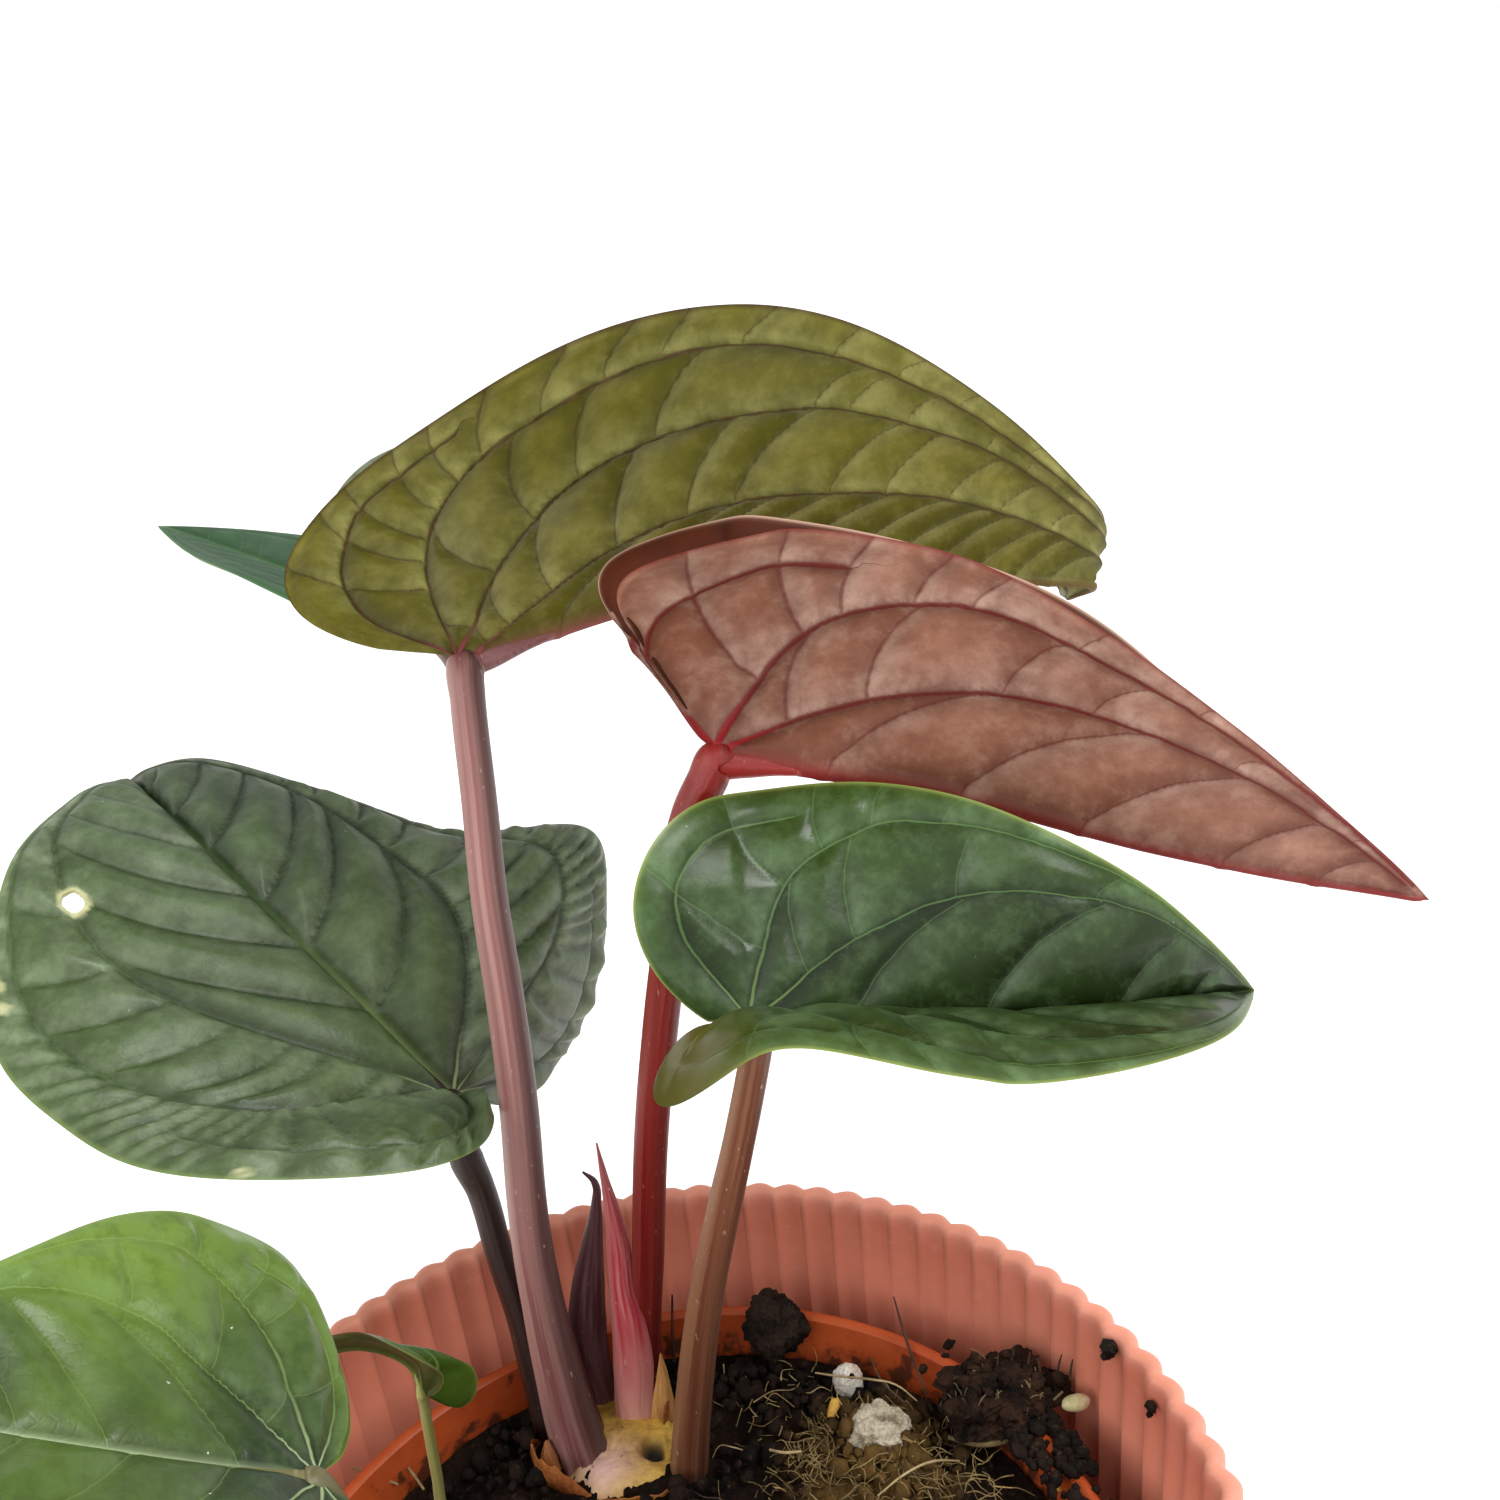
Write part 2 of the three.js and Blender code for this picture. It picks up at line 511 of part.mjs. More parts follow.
const buried = [wideRhizome];
const wideSheathCutters = [];
for (const [name, leaf] of Object.entries(LEAVES)) {
  const stemName = name === 'small' ? 'stem_small' : `petiole_${name}`;
  const stem = cutBy(tubeSolid(leaf.petiole), [wideRhizome, bladeSolid(leaf, GAP)]);
  addPiece(stemName, geometryOf(stem), leaf.stemColour, 0.5);
  addPiece(`blade_${name}`, geometryOf(bladeSolid(leaf)), leaf.colour, leaf.roughness);
  const wideStem = tubeSolid(leaf.petiole, GAP);
  buried.push(wideStem);
  wideSheathCutters.push(wideStem);
}

// Sheaths, each cut free of the base, of the petioles and of the sheaths before it
for (const [name, sheath] of Object.entries(SHEATHS)) {
  const body = cutBy(tubeSolid(sheath.route, 0, sheath.flat), [wideRhizome, ...wideSheathCutters]);
  addPiece(name, geometryOf(body), sheath.colour, sheath.roughness);
  const wideSheath = tubeSolid(sheath.route, GAP, sheath.flat);
  buried.push(wideSheath);
  wideSheathCutters.push(wideSheath);
}

// Loose pieces lie in dents of the peat, and the fibre clump lies over the nursery pot's lip
const lip = solidOf(turned([
  [NURSERY.shoulderRadius - NURSERY.wall - GAP, NURSERY.lipStart - 2],
  [NURSERY.lipRadius + GAP, NURSERY.lipStart - 2],
  [NURSERY.lipRadius + GAP, NURSERY.lipHeight + GAP],
  [NURSERY.mouthRadius - GAP, NURSERY.lipHeight + GAP],
  [NURSERY.shoulderRadius - NURSERY.wall - GAP, NURSERY.lipStart - 2],
], NURSERY.sides));
const wideSeed = lumpSolid(LUMPS.cream_seed, GAP);
for (const [name, lump] of Object.entries(LUMPS)) {
  const cutters = { fibre_clump: [lip, wideSeed], bark_lump: [lip] }[name] ?? [];
  addPiece(name, geometryOf(cutBy(lumpSolid(lump), cutters)), lump.colour, 0.8);
  buried.push(lumpSolid(lump, GAP));
}

// Peat, with a plain hole for everything that stands or lies in it
addPiece('soil', geometryOf(cutBy(soilSolid(), buried)), '#251b16', 0.95);

export default plant;
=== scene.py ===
# %% [markdown]
# A potted anthurium hybrid, dressed for its portrait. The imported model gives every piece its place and
# size, in metres. This lesson makes the fine surface of each piece round it: quilted leaf blades with
# their veins, juicy petioles, papery sheaths, crumbly peat, a plastic nursery pot and a fluted cachepot.
# %% Load the frame
import math
import random
import bpy
import numpy as np
from mathutils import Matrix, Vector, noise


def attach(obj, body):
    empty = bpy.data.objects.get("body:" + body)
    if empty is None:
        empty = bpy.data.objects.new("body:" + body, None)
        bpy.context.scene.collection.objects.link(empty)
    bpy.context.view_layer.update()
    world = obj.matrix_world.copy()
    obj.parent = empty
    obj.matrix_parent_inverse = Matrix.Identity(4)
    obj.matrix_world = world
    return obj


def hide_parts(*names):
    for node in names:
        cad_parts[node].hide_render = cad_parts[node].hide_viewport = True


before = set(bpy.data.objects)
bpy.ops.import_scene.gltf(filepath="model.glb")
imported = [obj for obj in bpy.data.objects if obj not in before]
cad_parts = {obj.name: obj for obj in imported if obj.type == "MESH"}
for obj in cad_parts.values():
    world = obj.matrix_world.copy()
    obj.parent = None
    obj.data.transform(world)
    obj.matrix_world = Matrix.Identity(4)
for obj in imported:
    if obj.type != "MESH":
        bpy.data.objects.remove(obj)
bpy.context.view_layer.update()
MM = 0.001

# %% [markdown]
# Modelling goes on as by hand: a primitive is added, shaped in edit mode, and given its finish. These
# helpers keep the steps short. Everything is deselected first, because an operator acts on all that is
# selected, and at the end each piece has its place in its mesh and its object at the origin.
# %% Helpers for pieces
def deselect():
    if bpy.context.object and bpy.context.object.mode == "EDIT":
        bpy.ops.object.mode_set(mode="OBJECT")
    bpy.ops.object.select_all(action="DESELECT")


def activate(piece):
    deselect()
    piece.select_set(True)
    bpy.context.view_layer.objects.active = piece


def edit(piece, action, **options):
    """One edit-mode operator on the whole mesh of a piece."""
    activate(piece)
    bpy.ops.object.mode_set(mode="EDIT")
    bpy.ops.mesh.select_all(action="SELECT")
    action(**options)
    bpy.ops.object.mode_set(mode="OBJECT")


def points_of(piece):
    places = np.zeros(len(piece.data.vertices) * 3)
    piece.data.vertices.foreach_get("co", places)
    return places.reshape(-1, 3)


def set_points(piece, places):
    piece.data.vertices.foreach_set("co", np.asarray(places, float).ravel())
    piece.data.update()


def write_marks(piece, key, kind, values):
    """One number or one colour for each corner of a mesh, for its finish to read."""
    attribute = piece.data.attributes.new(key, kind, "POINT")
    field = "color" if kind == "FLOAT_COLOR" else "value"
    attribute.data.foreach_set(field, values.astype(np.float32).ravel())


def join(pieces):
    deselect()
    for piece in pieces:
        piece.select_set(True)
    bpy.context.view_layer.objects.active = pieces[0]
    bpy.ops.object.join()
    return pieces[0]


def settle(piece):
    """Moves a piece's place, turn and size into its mesh."""
    activate(piece)
    bpy.ops.object.transform_apply(location=True, rotation=True, scale=True)


def finish(piece, name, replaced, material=None, smooth=40):
    """Names a piece, gives it its finish and lets it ride on the one body."""
    settle(piece)
    bpy.ops.object.shade_smooth_by_angle(angle=math.radians(smooth))
    piece.name = name
    if material:
        piece.data.materials.append(material)
    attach(piece, "root")
    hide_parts(*replaced)
    print(name, "faces", len(piece.data.polygons))


# %% [markdown]
# The camera stands a little above the leaves and looks down on the pot, turned a few degrees to the right
# and rolled, as the photographer held it. The floor is a plain pale sheet. A wide soft sky light comes
# from the upper right, a lamp fills from the left, and a pale room gives the even light between.
# %% Camera, floor and light
CAMERA_PLACE = (0, -0.1328, 0.2799)
CAMERA_RIGHT = Vector((0.9718, -0.2093, -0.1086))
CAMERA_UP = Vector((0.1702, 0.3038, 0.9374))
FOCAL_PIXELS = 1339
PHOTO_PIXELS = 1500
SENSOR = 36
NEAREST_SEEN = 0.01
FLOOR_SIZE = 60
PLANT_MIDDLE = (0.02, 0.05, 0.18)
ROOM_LIGHT = 0.9

bpy.ops.object.camera_add(location=CAMERA_PLACE)
camera = bpy.context.object
camera.data.sensor_width = SENSOR
camera.data.lens = SENSOR * FOCAL_PIXELS / PHOTO_PIXELS
camera.data.clip_start = NEAREST_SEEN
back = CAMERA_RIGHT.cross(CAMERA_UP).normalized()
up = back.cross(CAMERA_RIGHT).normalized()
turned_as_held = Matrix((CAMERA_RIGHT, up, back)).transposed().to_4x4()
camera.matrix_world = Matrix.Translation(CAMERA_PLACE) @ turned_as_held
bpy.context.scene.camera = camera

bpy.ops.mesh.primitive_plane_add(size=FLOOR_SIZE)
floor = bpy.context.object
floor.name = "floor"


def aimed_light(name, kind, place, target, power):
    bpy.ops.object.light_add(type=kind, location=place)
    light = bpy.context.object
    light.name = name
    light.data.energy = power
    light.rotation_euler = (Vector(target) - Vector(place)).to_track_quat("-Z", "Y").to_euler()
    return light


sky = aimed_light("sky_light", "SUN", (0.45, -0.25, 0.95), PLANT_MIDDLE, 2.0)
sky.data.angle = math.radians(28)
fill = aimed_light("fill", "AREA", (-0.8, -0.5, 0.6), PLANT_MIDDLE, 3.5)
fill.data.size = 0.8
world = bpy.data.worlds.new("room")
bpy.context.scene.world = world
world.use_nodes = True
background = world.node_tree.nodes["Background"]
background.inputs["Color"].default_value = (1, 1, 1, 1)
seen = world.node_tree.nodes.new("ShaderNodeLightPath").outputs["Is Camera Ray"]
strength = world.node_tree.nodes.new("ShaderNodeMapRange")
strength.inputs[3].default_value = ROOM_LIGHT
strength.inputs[4].default_value = 1.0
world.node_tree.links.new(seen, strength.inputs[0])
world.node_tree.links.new(strength.outputs[0], background.inputs["Strength"])
bpy.context.scene.view_settings.view_transform = "Standard"
print("lens", round(camera.data.lens, 2), "mm")

# %% [markdown]
# Colours are written as they look on a screen and turned into the linear values that shading needs. What a
# node gives out is held as a signal, which can be added to others and multiplied like a number, so a
# finish reads as a short sum. One helper lays colours over each other by masks.
# %% Signals between nodes
def linear(colour):
    channels = [int(colour[i:i + 2], 16) / 255 for i in (1, 3, 5)]
    return [((c + 0.055) / 1.055) ** 2.4 if c > 0.04 else c / 12.92 for c in channels] + [1]


class Signal:
    """What a node gives out, ready for arithmetic."""

    def __init__(self, tree, socket):
        self.tree = tree
        self.socket = socket

    def maths(self, operation, other=0.5, clamp=False):
        values = {0: self, 1: other}
        return add_node(self.tree, "ShaderNodeMath", values, operation=operation, use_clamp=clamp)[0]

    def __add__(self, other):
        return self.maths("ADD", other)

    def __sub__(self, other):
        return self.maths("SUBTRACT", other)

    def __mul__(self, other):
        return self.maths("MULTIPLY", other)

    def __pow__(self, other):
        return self.maths("POWER", other)

    def __abs__(self):
        return self.maths("ABSOLUTE")

    def least(self, other):
        return self.maths("MINIMUM", other)

    def most(self, other):
        return self.maths("MAXIMUM", other)

    def spread(self, low, high, out_low=0.0, out_high=1.0):
        """Stretches the part from low to high over another part, and holds what lies outside at its ends."""
        values = {0: self, 1: low, 2: high, 3: out_low, 4: out_high}
        return add_node(self.tree, "ShaderNodeMapRange", values)[0]


def put(tree, target, key, value):
    """A number, a colour or a signal, into a node's input."""
    socket = target.inputs[key]
    if isinstance(value, Signal):
        tree.links.new(value.socket, socket)
    elif isinstance(value, str):
        socket.default_value = linear(value)
    else:
        socket.default_value = value


def add_node(tree, kind, values, **settings):
    """A new node with its values. It gives its outputs as signals, in their order."""
    made = tree.nodes.new(kind)
    for key, value in settings.items():
        setattr(made, key, value)
    for key, value in values.items():
        put(tree, made, key, value)
    return [Signal(tree, socket) for socket in made.outputs]


def mix(tree, first, second, share):
    return add_node(tree, "ShaderNodeMix", {0: share, 6: first, 7: second}, data_type="RGBA")[2]


def layered(tree, colour, *layers):
    """A colour with other tones laid over it, each by its own mask."""
    for tone, mask in layers:
        colour = mix(tree, colour, tone, mask)
    return colour


# %% [markdown]
# Masks come from noise in the object's own space and from marks that the modelling left on the mesh. A
# material is then one function that gives its colour, its roughness and its height. What several materials
# share is a group.
# %% Masks, materials and groups
def object_places(tree, stretch=(1, 1, 1)):
    places = Signal(tree, tree.nodes.new("ShaderNodeTexCoord").outputs["Object"])
    return add_node(tree, "ShaderNodeMapping", {"Vector": places, "Scale": stretch})[0]


def height_of(tree):
    return add_node(tree, "ShaderNodeSeparateXYZ", {0: object_places(tree)})[2]


def cloud(tree, scale, detail=4, stretch=(1, 1, 1), rough=0.55):
    """Noise with features of about a metre over its scale."""
    values = {"Vector": object_places(tree, stretch), "Scale": scale, "Detail": detail, "Roughness": rough}
    return add_node(tree, "ShaderNodeTexNoise", values)[0]


def attribute(tree, name, output="Fac"):
    made = tree.nodes.new("ShaderNodeAttribute")
    made.attribute_name = name
    return Signal(tree, made.outputs[output])


def channels_of(tree, name):
    return add_node(tree, "ShaderNodeSeparateColor", {0: attribute(tree, name, "Color")})


def new_material(name, paint, bump=0.2, depth=0.0005, shine=0.5):
    """A material from a function that gives its colour, its roughness and its height, which may be None."""
    material = bpy.data.materials.new(name)
    material.use_nodes = True
    tree = material.node_tree
    shader = tree.nodes["Principled BSDF"]
    colour, roughness, height = paint(tree)
    put(tree, shader, "Base Color", colour)
    put(tree, shader, "Roughness", roughness)
    put(tree, shader, "Specular IOR Level", shine)
    if height:
        values = {"Height": height, "Strength": bump, "Distance": depth}
        put(tree, shader, "Normal", add_node(tree, "ShaderNodeBump", values)[0])
    return material


COLOUR = "NodeSocketColor"
NUMBER = "NodeSocketFloat"


def group(name, inputs, outputs, build):
    """A node group: build gets the tree and the group's inputs, and gives a signal for each output."""
    tree = bpy.data.node_groups.new(name, "ShaderNodeTree")
    for direction, sockets in (("INPUT", inputs), ("OUTPUT", outputs)):
        for socket, kind in sockets.items():
            tree.interface.new_socket(socket, in_out=direction, socket_type=kind)
    entry = tree.nodes.new("NodeGroupInput").outputs
    leave = tree.nodes.new("NodeGroupOutput")
    given = {socket: Signal(tree, entry[socket]) for socket in inputs}
    for place, value in enumerate(build(tree, given)):
        put(tree, leave, place, value)
    return tree


def use_group(tree, made_group, values):
    return add_node(tree, "ShaderNodeGroup", values, node_tree=made_group)


def paint_floor(tree):
    return mix(tree, "#fdfdfc", "#ffffff", cloud(tree, 3)), 0.9, None


floor.data.materials.append(new_material("pale_floor", paint_floor, shine=0))
print("materials", len(bpy.data.materials))

# %% [markdown]
# Dust and mottling show on nearly everything here: two tones that drift into each other over a few
# millimetres, with a finer grain inside. It is a group, so each material gives it its own two tones.
# %% Mottle
def build_mottle(tree, given):
    broad = cloud(tree, given["Scale"], 5, rough=0.5)
    fine = cloud(tree, given["Scale"] * 9, 3, rough=0.5)
    return [mix(tree, given["Dark"], given["Light"], (broad * 0.7 + fine * 0.3).spread(0.38, 0.62))]


mottle = group("mottle", {"Dark": COLOUR, "Light": COLOUR, "Scale": NUMBER}, {"Color": COLOUR}, build_mottle)
print("mottle nodes", len(mottle.nodes))


def mottled(tree, dark, light, scale):
    return use_group(tree, mottle, {"Dark": dark, "Light": light, "Scale": scale})[0]


def two_tones(tones, roughness, *grain):
    """A paint of two mottled tones and their scale. The grain is the scale and detail of its height."""
    return lambda tree: (mottled(tree, *tones), roughness, cloud(tree, *grain) if grain else None)


# %% [markdown]
# The cachepot is a thin cup of terracotta-pink plastic, pressed into upright half-round flutes. It could
# be spun from a profile. Here a disc is extruded ring by ring up the outside, over the lip and down the
# inside, as on a wheel, and then each ring is pushed out by the same wave of flutes.
# %% Cachepot
CACHEPOT = dict(height=125, top=75, foot=70, wall=3, floor=3, flutes=84, depth=1.3, inner_share=0.85,
                turn=1.61)
SIDES_PER_FLUTE = 8
LIP_STEPS = 8
FLOOR_REACH = 60
slope = (CACHEPOT["top"] - CACHEPOT["foot"]) / CACHEPOT["height"]


def turned(profile, sides):
    """A solid of revolution: a disc extruded through rings of radius and height in millimetres."""
    deselect()
    radius, height = profile[0]
    bpy.ops.mesh.primitive_circle_add(vertices=sides, radius=radius * MM, location=(0, 0, height * MM),
                                      fill_type="NGON")
    piece = bpy.context.object
    bpy.ops.object.mode_set(mode="EDIT")
    bpy.ops.mesh.select_all(action="SELECT")
    for next_radius, next_height in profile[1:]:
        rise = (0, 0, (next_height - height) * MM)
        bpy.ops.mesh.extrude_region_move(TRANSFORM_OT_translate={"value": rise})
        ratio = next_radius / radius
        bpy.ops.transform.resize(value=(ratio, ratio, 1), center_override=(0, 0, next_height * MM))
        radius, height = next_radius, next_height
    bpy.ops.mesh.select_all(action="SELECT")
    bpy.ops.mesh.normals_make_consistent(inside=False)
    bpy.ops.object.mode_set(mode="OBJECT")
    settle(piece)
    return piece


def cachepot_profile():
    top, foot, wall, height = (CACHEPOT[key] for key in ("top", "foot", "wall", "height"))
    outer = [(foot - 2, 0), (foot - 0.4, 0.4), (foot, 1.6)]
    outer += [(foot + slope * rise, rise) for rise in (20, 45, 70, 95, 115, 123)]
    lip = []
    for step in range(1, LIP_STEPS):
        angle = math.pi * step / LIP_STEPS
        lip.append((top - wall / 2 * (1 - math.cos(angle)), height - wall / 2 + wall / 2 * math.sin(angle)))
    inner = [(top - wall - slope * drop, height - drop) for drop in (2, 6, 14, 30, 55, 80, 105, 118)]
    return outer + lip + inner + [(foot - wall - 2, CACHEPOT["floor"]), (1, CACHEPOT["floor"])]


cup = turned(cachepot_profile(), CACHEPOT["flutes"] * SIDES_PER_FLUTE)
places = points_of(cup) / MM
radii = np.hypot(places[:, 0], places[:, 1])
angles = np.arctan2(places[:, 0], -places[:, 1])
wave = np.sqrt(np.sin(angles * CACHEPOT["flutes"] / 2) ** 2 + 0.006) - 0.07
inside = radii < CACHEPOT["foot"] + slope * places[:, 2] - CACHEPOT["wall"] * 0.8
depth = np.where(inside, CACHEPOT["depth"] * CACHEPOT["inner_share"], CACHEPOT["depth"])
push = np.where(radii > FLOOR_REACH, depth * wave / np.maximum(radii, 1), 0)
turn = math.radians(CACHEPOT["turn"])
spin = np.array([[math.cos(turn), -math.sin(turn)], [math.sin(turn), math.cos(turn)]])
places[:, :2] = (places[:, :2] * (1 + push)[:, None]) @ spin.T
set_points(cup, places * MM)
# The fold mark lies along the inward ridges between the flutes on the inside, where the finish paints shade.
write_marks(cup, "fold", "FLOAT", np.where(inside, np.exp(-(wave / 0.14) ** 2), 0))
write_marks(cup, "inside", "FLOAT", inside)


def paint_cachepot(tree):
    height = height_of(tree)
    colour = layered(
        tree, mottled(tree, "#d67a60", "#e6917a", 28),
        # Painted shade: dark lines along the inward ridges between the flutes.
        ("#8f4a3a", attribute(tree, "fold") * 0.55),
        # Painted light: the lower inside wall is lightened against the shade that falls there.
        ("#faa084", height.spread(0.123, 0.108, 0, 0.85) * attribute(tree, "inside")),
        ("#eeb09a", cloud(tree, 420, 3).spread(0.62, 0.78, 0, 0.35)),
        # Painted highlight: a lighter band round the top of the lip.
        ("#f0a890", height.spread(0.1215, 0.1245, 0, 0.45)))
    return colour, cloud(tree, 60).spread(0.3, 0.7, 0.42, 0.6), cloud(tree, 900, 3)


cachepot_material = new_material("terracotta_plastic", paint_cachepot, bump=0.12, depth=0.0003)
finish(cup, "fluted_cachepot", ["cachepot"], cachepot_material, smooth=50)

# %% [markdown]
# The nursery pot is the thin growing pot that the plant came in. Only its rolled lip shows, orange-brown
# and dusted with peat, so it gets a rounder lip than the frame has. It is extruded the same way, and its
# drain holes are cut by a boolean modifier with six short cylinders.
# %% Nursery pot
NURSERY = dict(foot=44, foot_height=3.3, wall=1.2, shoulder=60.2, lip_start=100, lip=63, lip_top=108.7,
               mouth=60.5, hole=4, holes=6, hole_ring=28)
NURSERY_SIDES = 144
DRILL_LENGTH = 5


def nursery_profile():
    foot, low, wall, shoulder, lip, lip_top, mouth = (
        NURSERY[key] for key in ("foot", "foot_height", "wall", "shoulder", "lip", "lip_top", "mouth"))
    outer = [(foot - 1, low), (foot, low + 0.6)]
    outer += [(foot + (shoulder - foot) * share, low + (NURSERY["lip_start"] - low) * share)
              for share in (0.25, 0.5, 0.75, 0.97, 1)]
    rolled = [(lip - 0.7, 100.5), (lip, 101.5), (lip, 107.2), (lip - 0.3, 108.2), (lip - 0.9, lip_top),
              (mouth + 0.7, lip_top), (mouth + 0.1, 108.2), (mouth - 0.1, 107)]
    return outer + rolled + [(shoulder - wall, 99.5), (foot - wall, low + wall), (1, low + wall)]


nursery = turned(nursery_profile(), NURSERY_SIDES)
drills = []
for step in range(NURSERY["holes"]):
    angle = math.tau * step / NURSERY["holes"]
    place = [math.cos(angle) * NURSERY["hole_ring"] * MM, math.sin(angle) * NURSERY["hole_ring"] * MM,
             NURSERY["foot_height"] * MM]
    deselect()
    bpy.ops.mesh.primitive_cylinder_add(vertices=24, radius=NURSERY["hole"] * MM, depth=DRILL_LENGTH * MM,
                                        location=place)
    drills.append(bpy.context.object)
drill = join(drills)
activate(nursery)
cut = nursery.modifiers.new("drain", "BOOLEAN")
cut.operation = "DIFFERENCE"
cut.object = drill
bpy.ops.object.modifier_apply(modifier=cut.name)
bpy.data.objects.remove(drill)


def paint_nursery(tree):
    low = height_of(tree).spread(0.1015, 0.1085, 1, 0)
    dirt = (cloud(tree, 260, 6) + low * 0.22).spread(0.66, 0.76, 0, 0.85)
    return mix(tree, mottled(tree, "#a8431b", "#c45727", 45), "#3a2318", dirt), 0.42, cloud(tree, 500)


nursery_material = new_material("nursery_plastic", paint_nursery, bump=0.15, depth=0.0003)
finish(nursery, "growing_pot", ["nursery_pot"], nursery_material)

# %% [markdown]
# A leaf blade is a sheet of well under a millimetre. Its outline is a long heart: two rounded lobes
# behind the junction with the petiole, and a slow taper to the tip. The sheet is bent in space along the
# midrib, each half with its own fold, curl and droop. A grid is the natural start: its columns run from
# margin to midrib to margin, its rows from the lobes to the tip, and each of its corners is then carried
# to its place by this rule, which is the frame's own, so that the fine blade lies where the plain one did.
# %% The rule of a blade
HALF_OUTLINE = [
    (0, 0), (-0.5, 0.1), (-0.92, 0.32), (-0.98, 0.6), (-0.62, 0.86), (0, 0.985), (0.22, 1),
    (0.45, 0.86), (0.68, 0.56), (0.86, 0.26), (0.95, 0.1), (1, 0),
]
LOBE_OPENING = np.array([0, 1, 1, 0.7, 0.3])
VEIN_SLANT = 0.12
FIRST_ROW = 2 / 22
RIM_START = 3 / 11
SOFT_TURN = 3
SOFT_PART = 22


def smooth_curve(points, share):
    """A smooth curve through the points, at shares of its run from 0 to 1, evenly timed between points."""
    points = np.asarray(points, float)
    padded = np.vstack([2 * points[0] - points[1], points, 2 * points[-1] - points[-2]])
    place = np.clip(np.asarray(share, float), 0, 1) * (len(points) - 1)
    start = np.minimum(place.astype(int), len(points) - 2)
    t = (place - start)[..., None]
    a, b, c, d = (padded[start + step] for step in range(4))
    squared, cubed = (2 * a - 5 * b + 4 * c - d) * t ** 2, (3 * b - a - 3 * c + d) * t ** 3
    return 0.5 * (2 * b + (c - a) * t + squared + cubed)


def run_along(line):
    """How far along its length each place of a line lies."""
    return np.concatenate([[0], np.cumsum(np.linalg.norm(np.diff(line, axis=0), axis=1))])


def unit(vectors):
    return vectors / np.linalg.norm(vectors, axis=-1, keepdims=True)


def even_shares(points, count, start=0.0):
    """Shares of a curve's run that divide its length evenly."""
    shares = np.linspace(start, 1, 900)
    run = run_along(smooth_curve(points, shares))
    return np.interp(np.linspace(0, run[-1], count), run, shares)


class Blade:
    """The middle surface of a leaf, in millimetres."""

    def __init__(self, leaf):
        self.leaf = leaf
        self.line = smooth_curve(leaf["midrib"], np.linspace(0, 1, 401))
        run = run_along(self.line)
        self.length = run[-1]
        self.run = run / run[-1]
        self.heading = np.gradient(self.line, axis=0)
        outline = np.array(HALF_OUTLINE, float)
        outline[:5, 1] += LOBE_OPENING * leaf["opening"]
        self.outline = outline * [1, leaf["half_width"]]
        self.outline[:, 0] *= np.where(outline[:, 0] < 0, leaf["lobe"], self.length)

    def flat(self, row, out):
        """Place on the flat leaf: x ahead of the junction and y out from the midrib. Then the share of the
        midrib where the row starts, and the place of its end on the margin."""
        edge = smooth_curve(self.outline, row)
        foot = np.clip((edge[..., 0] / self.length - VEIN_SLANT) / (1 - VEIN_SLANT), 0, 1)
        x = self.length * foot * (1 - out) + edge[..., 0] * out
        return x, edge[..., 1] * out, foot, edge

    def frame_at(self, share):
        """A place of the midrib, with the directions ahead, across and up there."""
        spot, ahead = (np.stack([np.interp(share, self.run, table[:, k]) for k in range(3)], -1)
                       for table in (self.line, self.heading))
        ahead = unit(ahead)
        across = unit(np.cross([0, 0, 1.0], ahead))
        return spot, ahead, across, np.cross(ahead, across)

    def place(self, row, out, side):
        """Where a place of the flat leaf lies in space. Side is 1 for the left half and -1 for the right."""
        leaf = self.leaf
        x, y, foot, edge = self.flat(row, out)
        if "margin" in leaf:
            spot, _, _, rise = self.frame_at(foot)
            rim = smooth_curve(leaf["margin"][side], row)
            crown = leaf["crown"] * edge[..., 1] / leaf["half_width"] * 4 * out * (1 - out)
            return spot * (1 - out)[..., None] + rim * out[..., None] + rise * crown[..., None]
        half = leaf["left"] if side > 0 else leaf["right"]
        share = np.clip(x / self.length, 0, 1)
        spot, ahead, across, rise = self.frame_at(share)
        behind = (np.sqrt(x * x + SOFT_TURN ** 2) - x) / 2
        bend = math.radians(half["pitch"]) / leaf["lobe"] + 1e-7
        turned_by = bend * behind
        spot = spot - (np.sin(turned_by) / bend)[..., None] * ahead
        spot = spot - ((1 - np.cos(turned_by)) / bend)[..., None] * rise
        lifted = np.cos(turned_by)[..., None] * rise - np.sin(turned_by)[..., None] * ahead
        fold = np.radians(half["fold"][0] + (half["fold"][1] - half["fold"][0]) * share
                          + half["droop"] * behind / leaf["lobe"])
        curl = math.radians(half["curl"]) + 1e-7
        reach = curl * y / leaf["half_width"]
        radius = leaf["half_width"] / curl
        sideways = side * radius * (np.sin(fold + reach) - np.sin(fold))
        upwards = -radius * (np.cos(fold + reach) - np.cos(fold))
        return spot + sideways[..., None] * across + upwards[..., None] * lifted


# %% [markdown]
# Each leaf of the plant, with the values of the frame. Its veins are drawn on the flat leaf: x in blade
# lengths ahead of the junction, or lobe lengths behind it, and y in half widths. From the junction a
# midrib runs to the tip, and in each half an inner and an outer vein arch round to meet it again, as in
# all leaves of this kind, with one more looping through the lobe. The olive leaf has one arch more.
# %% The leaves
INNER = [(0, 0.01), (0.05, 0.11), (0.12, 0.24), (0.22, 0.37), (0.36, 0.48), (0.52, 0.5), (0.7, 0.4),
         (0.85, 0.22), (0.96, 0.05)]
OUTER = [(0, 0.03), (0.02, 0.25), (0.05, 0.5), (0.1, 0.65), (0.18, 0.76), (0.3, 0.81), (0.5, 0.72),
         (0.7, 0.5), (0.87, 0.23), (0.97, 0.05)]
LOBE = [(-0.03, 0.03), (-0.4, 0.2), (-0.62, 0.36), (-0.66, 0.52), (-0.5, 0.68), (-0.15, 0.8), (0.08, 0.86)]
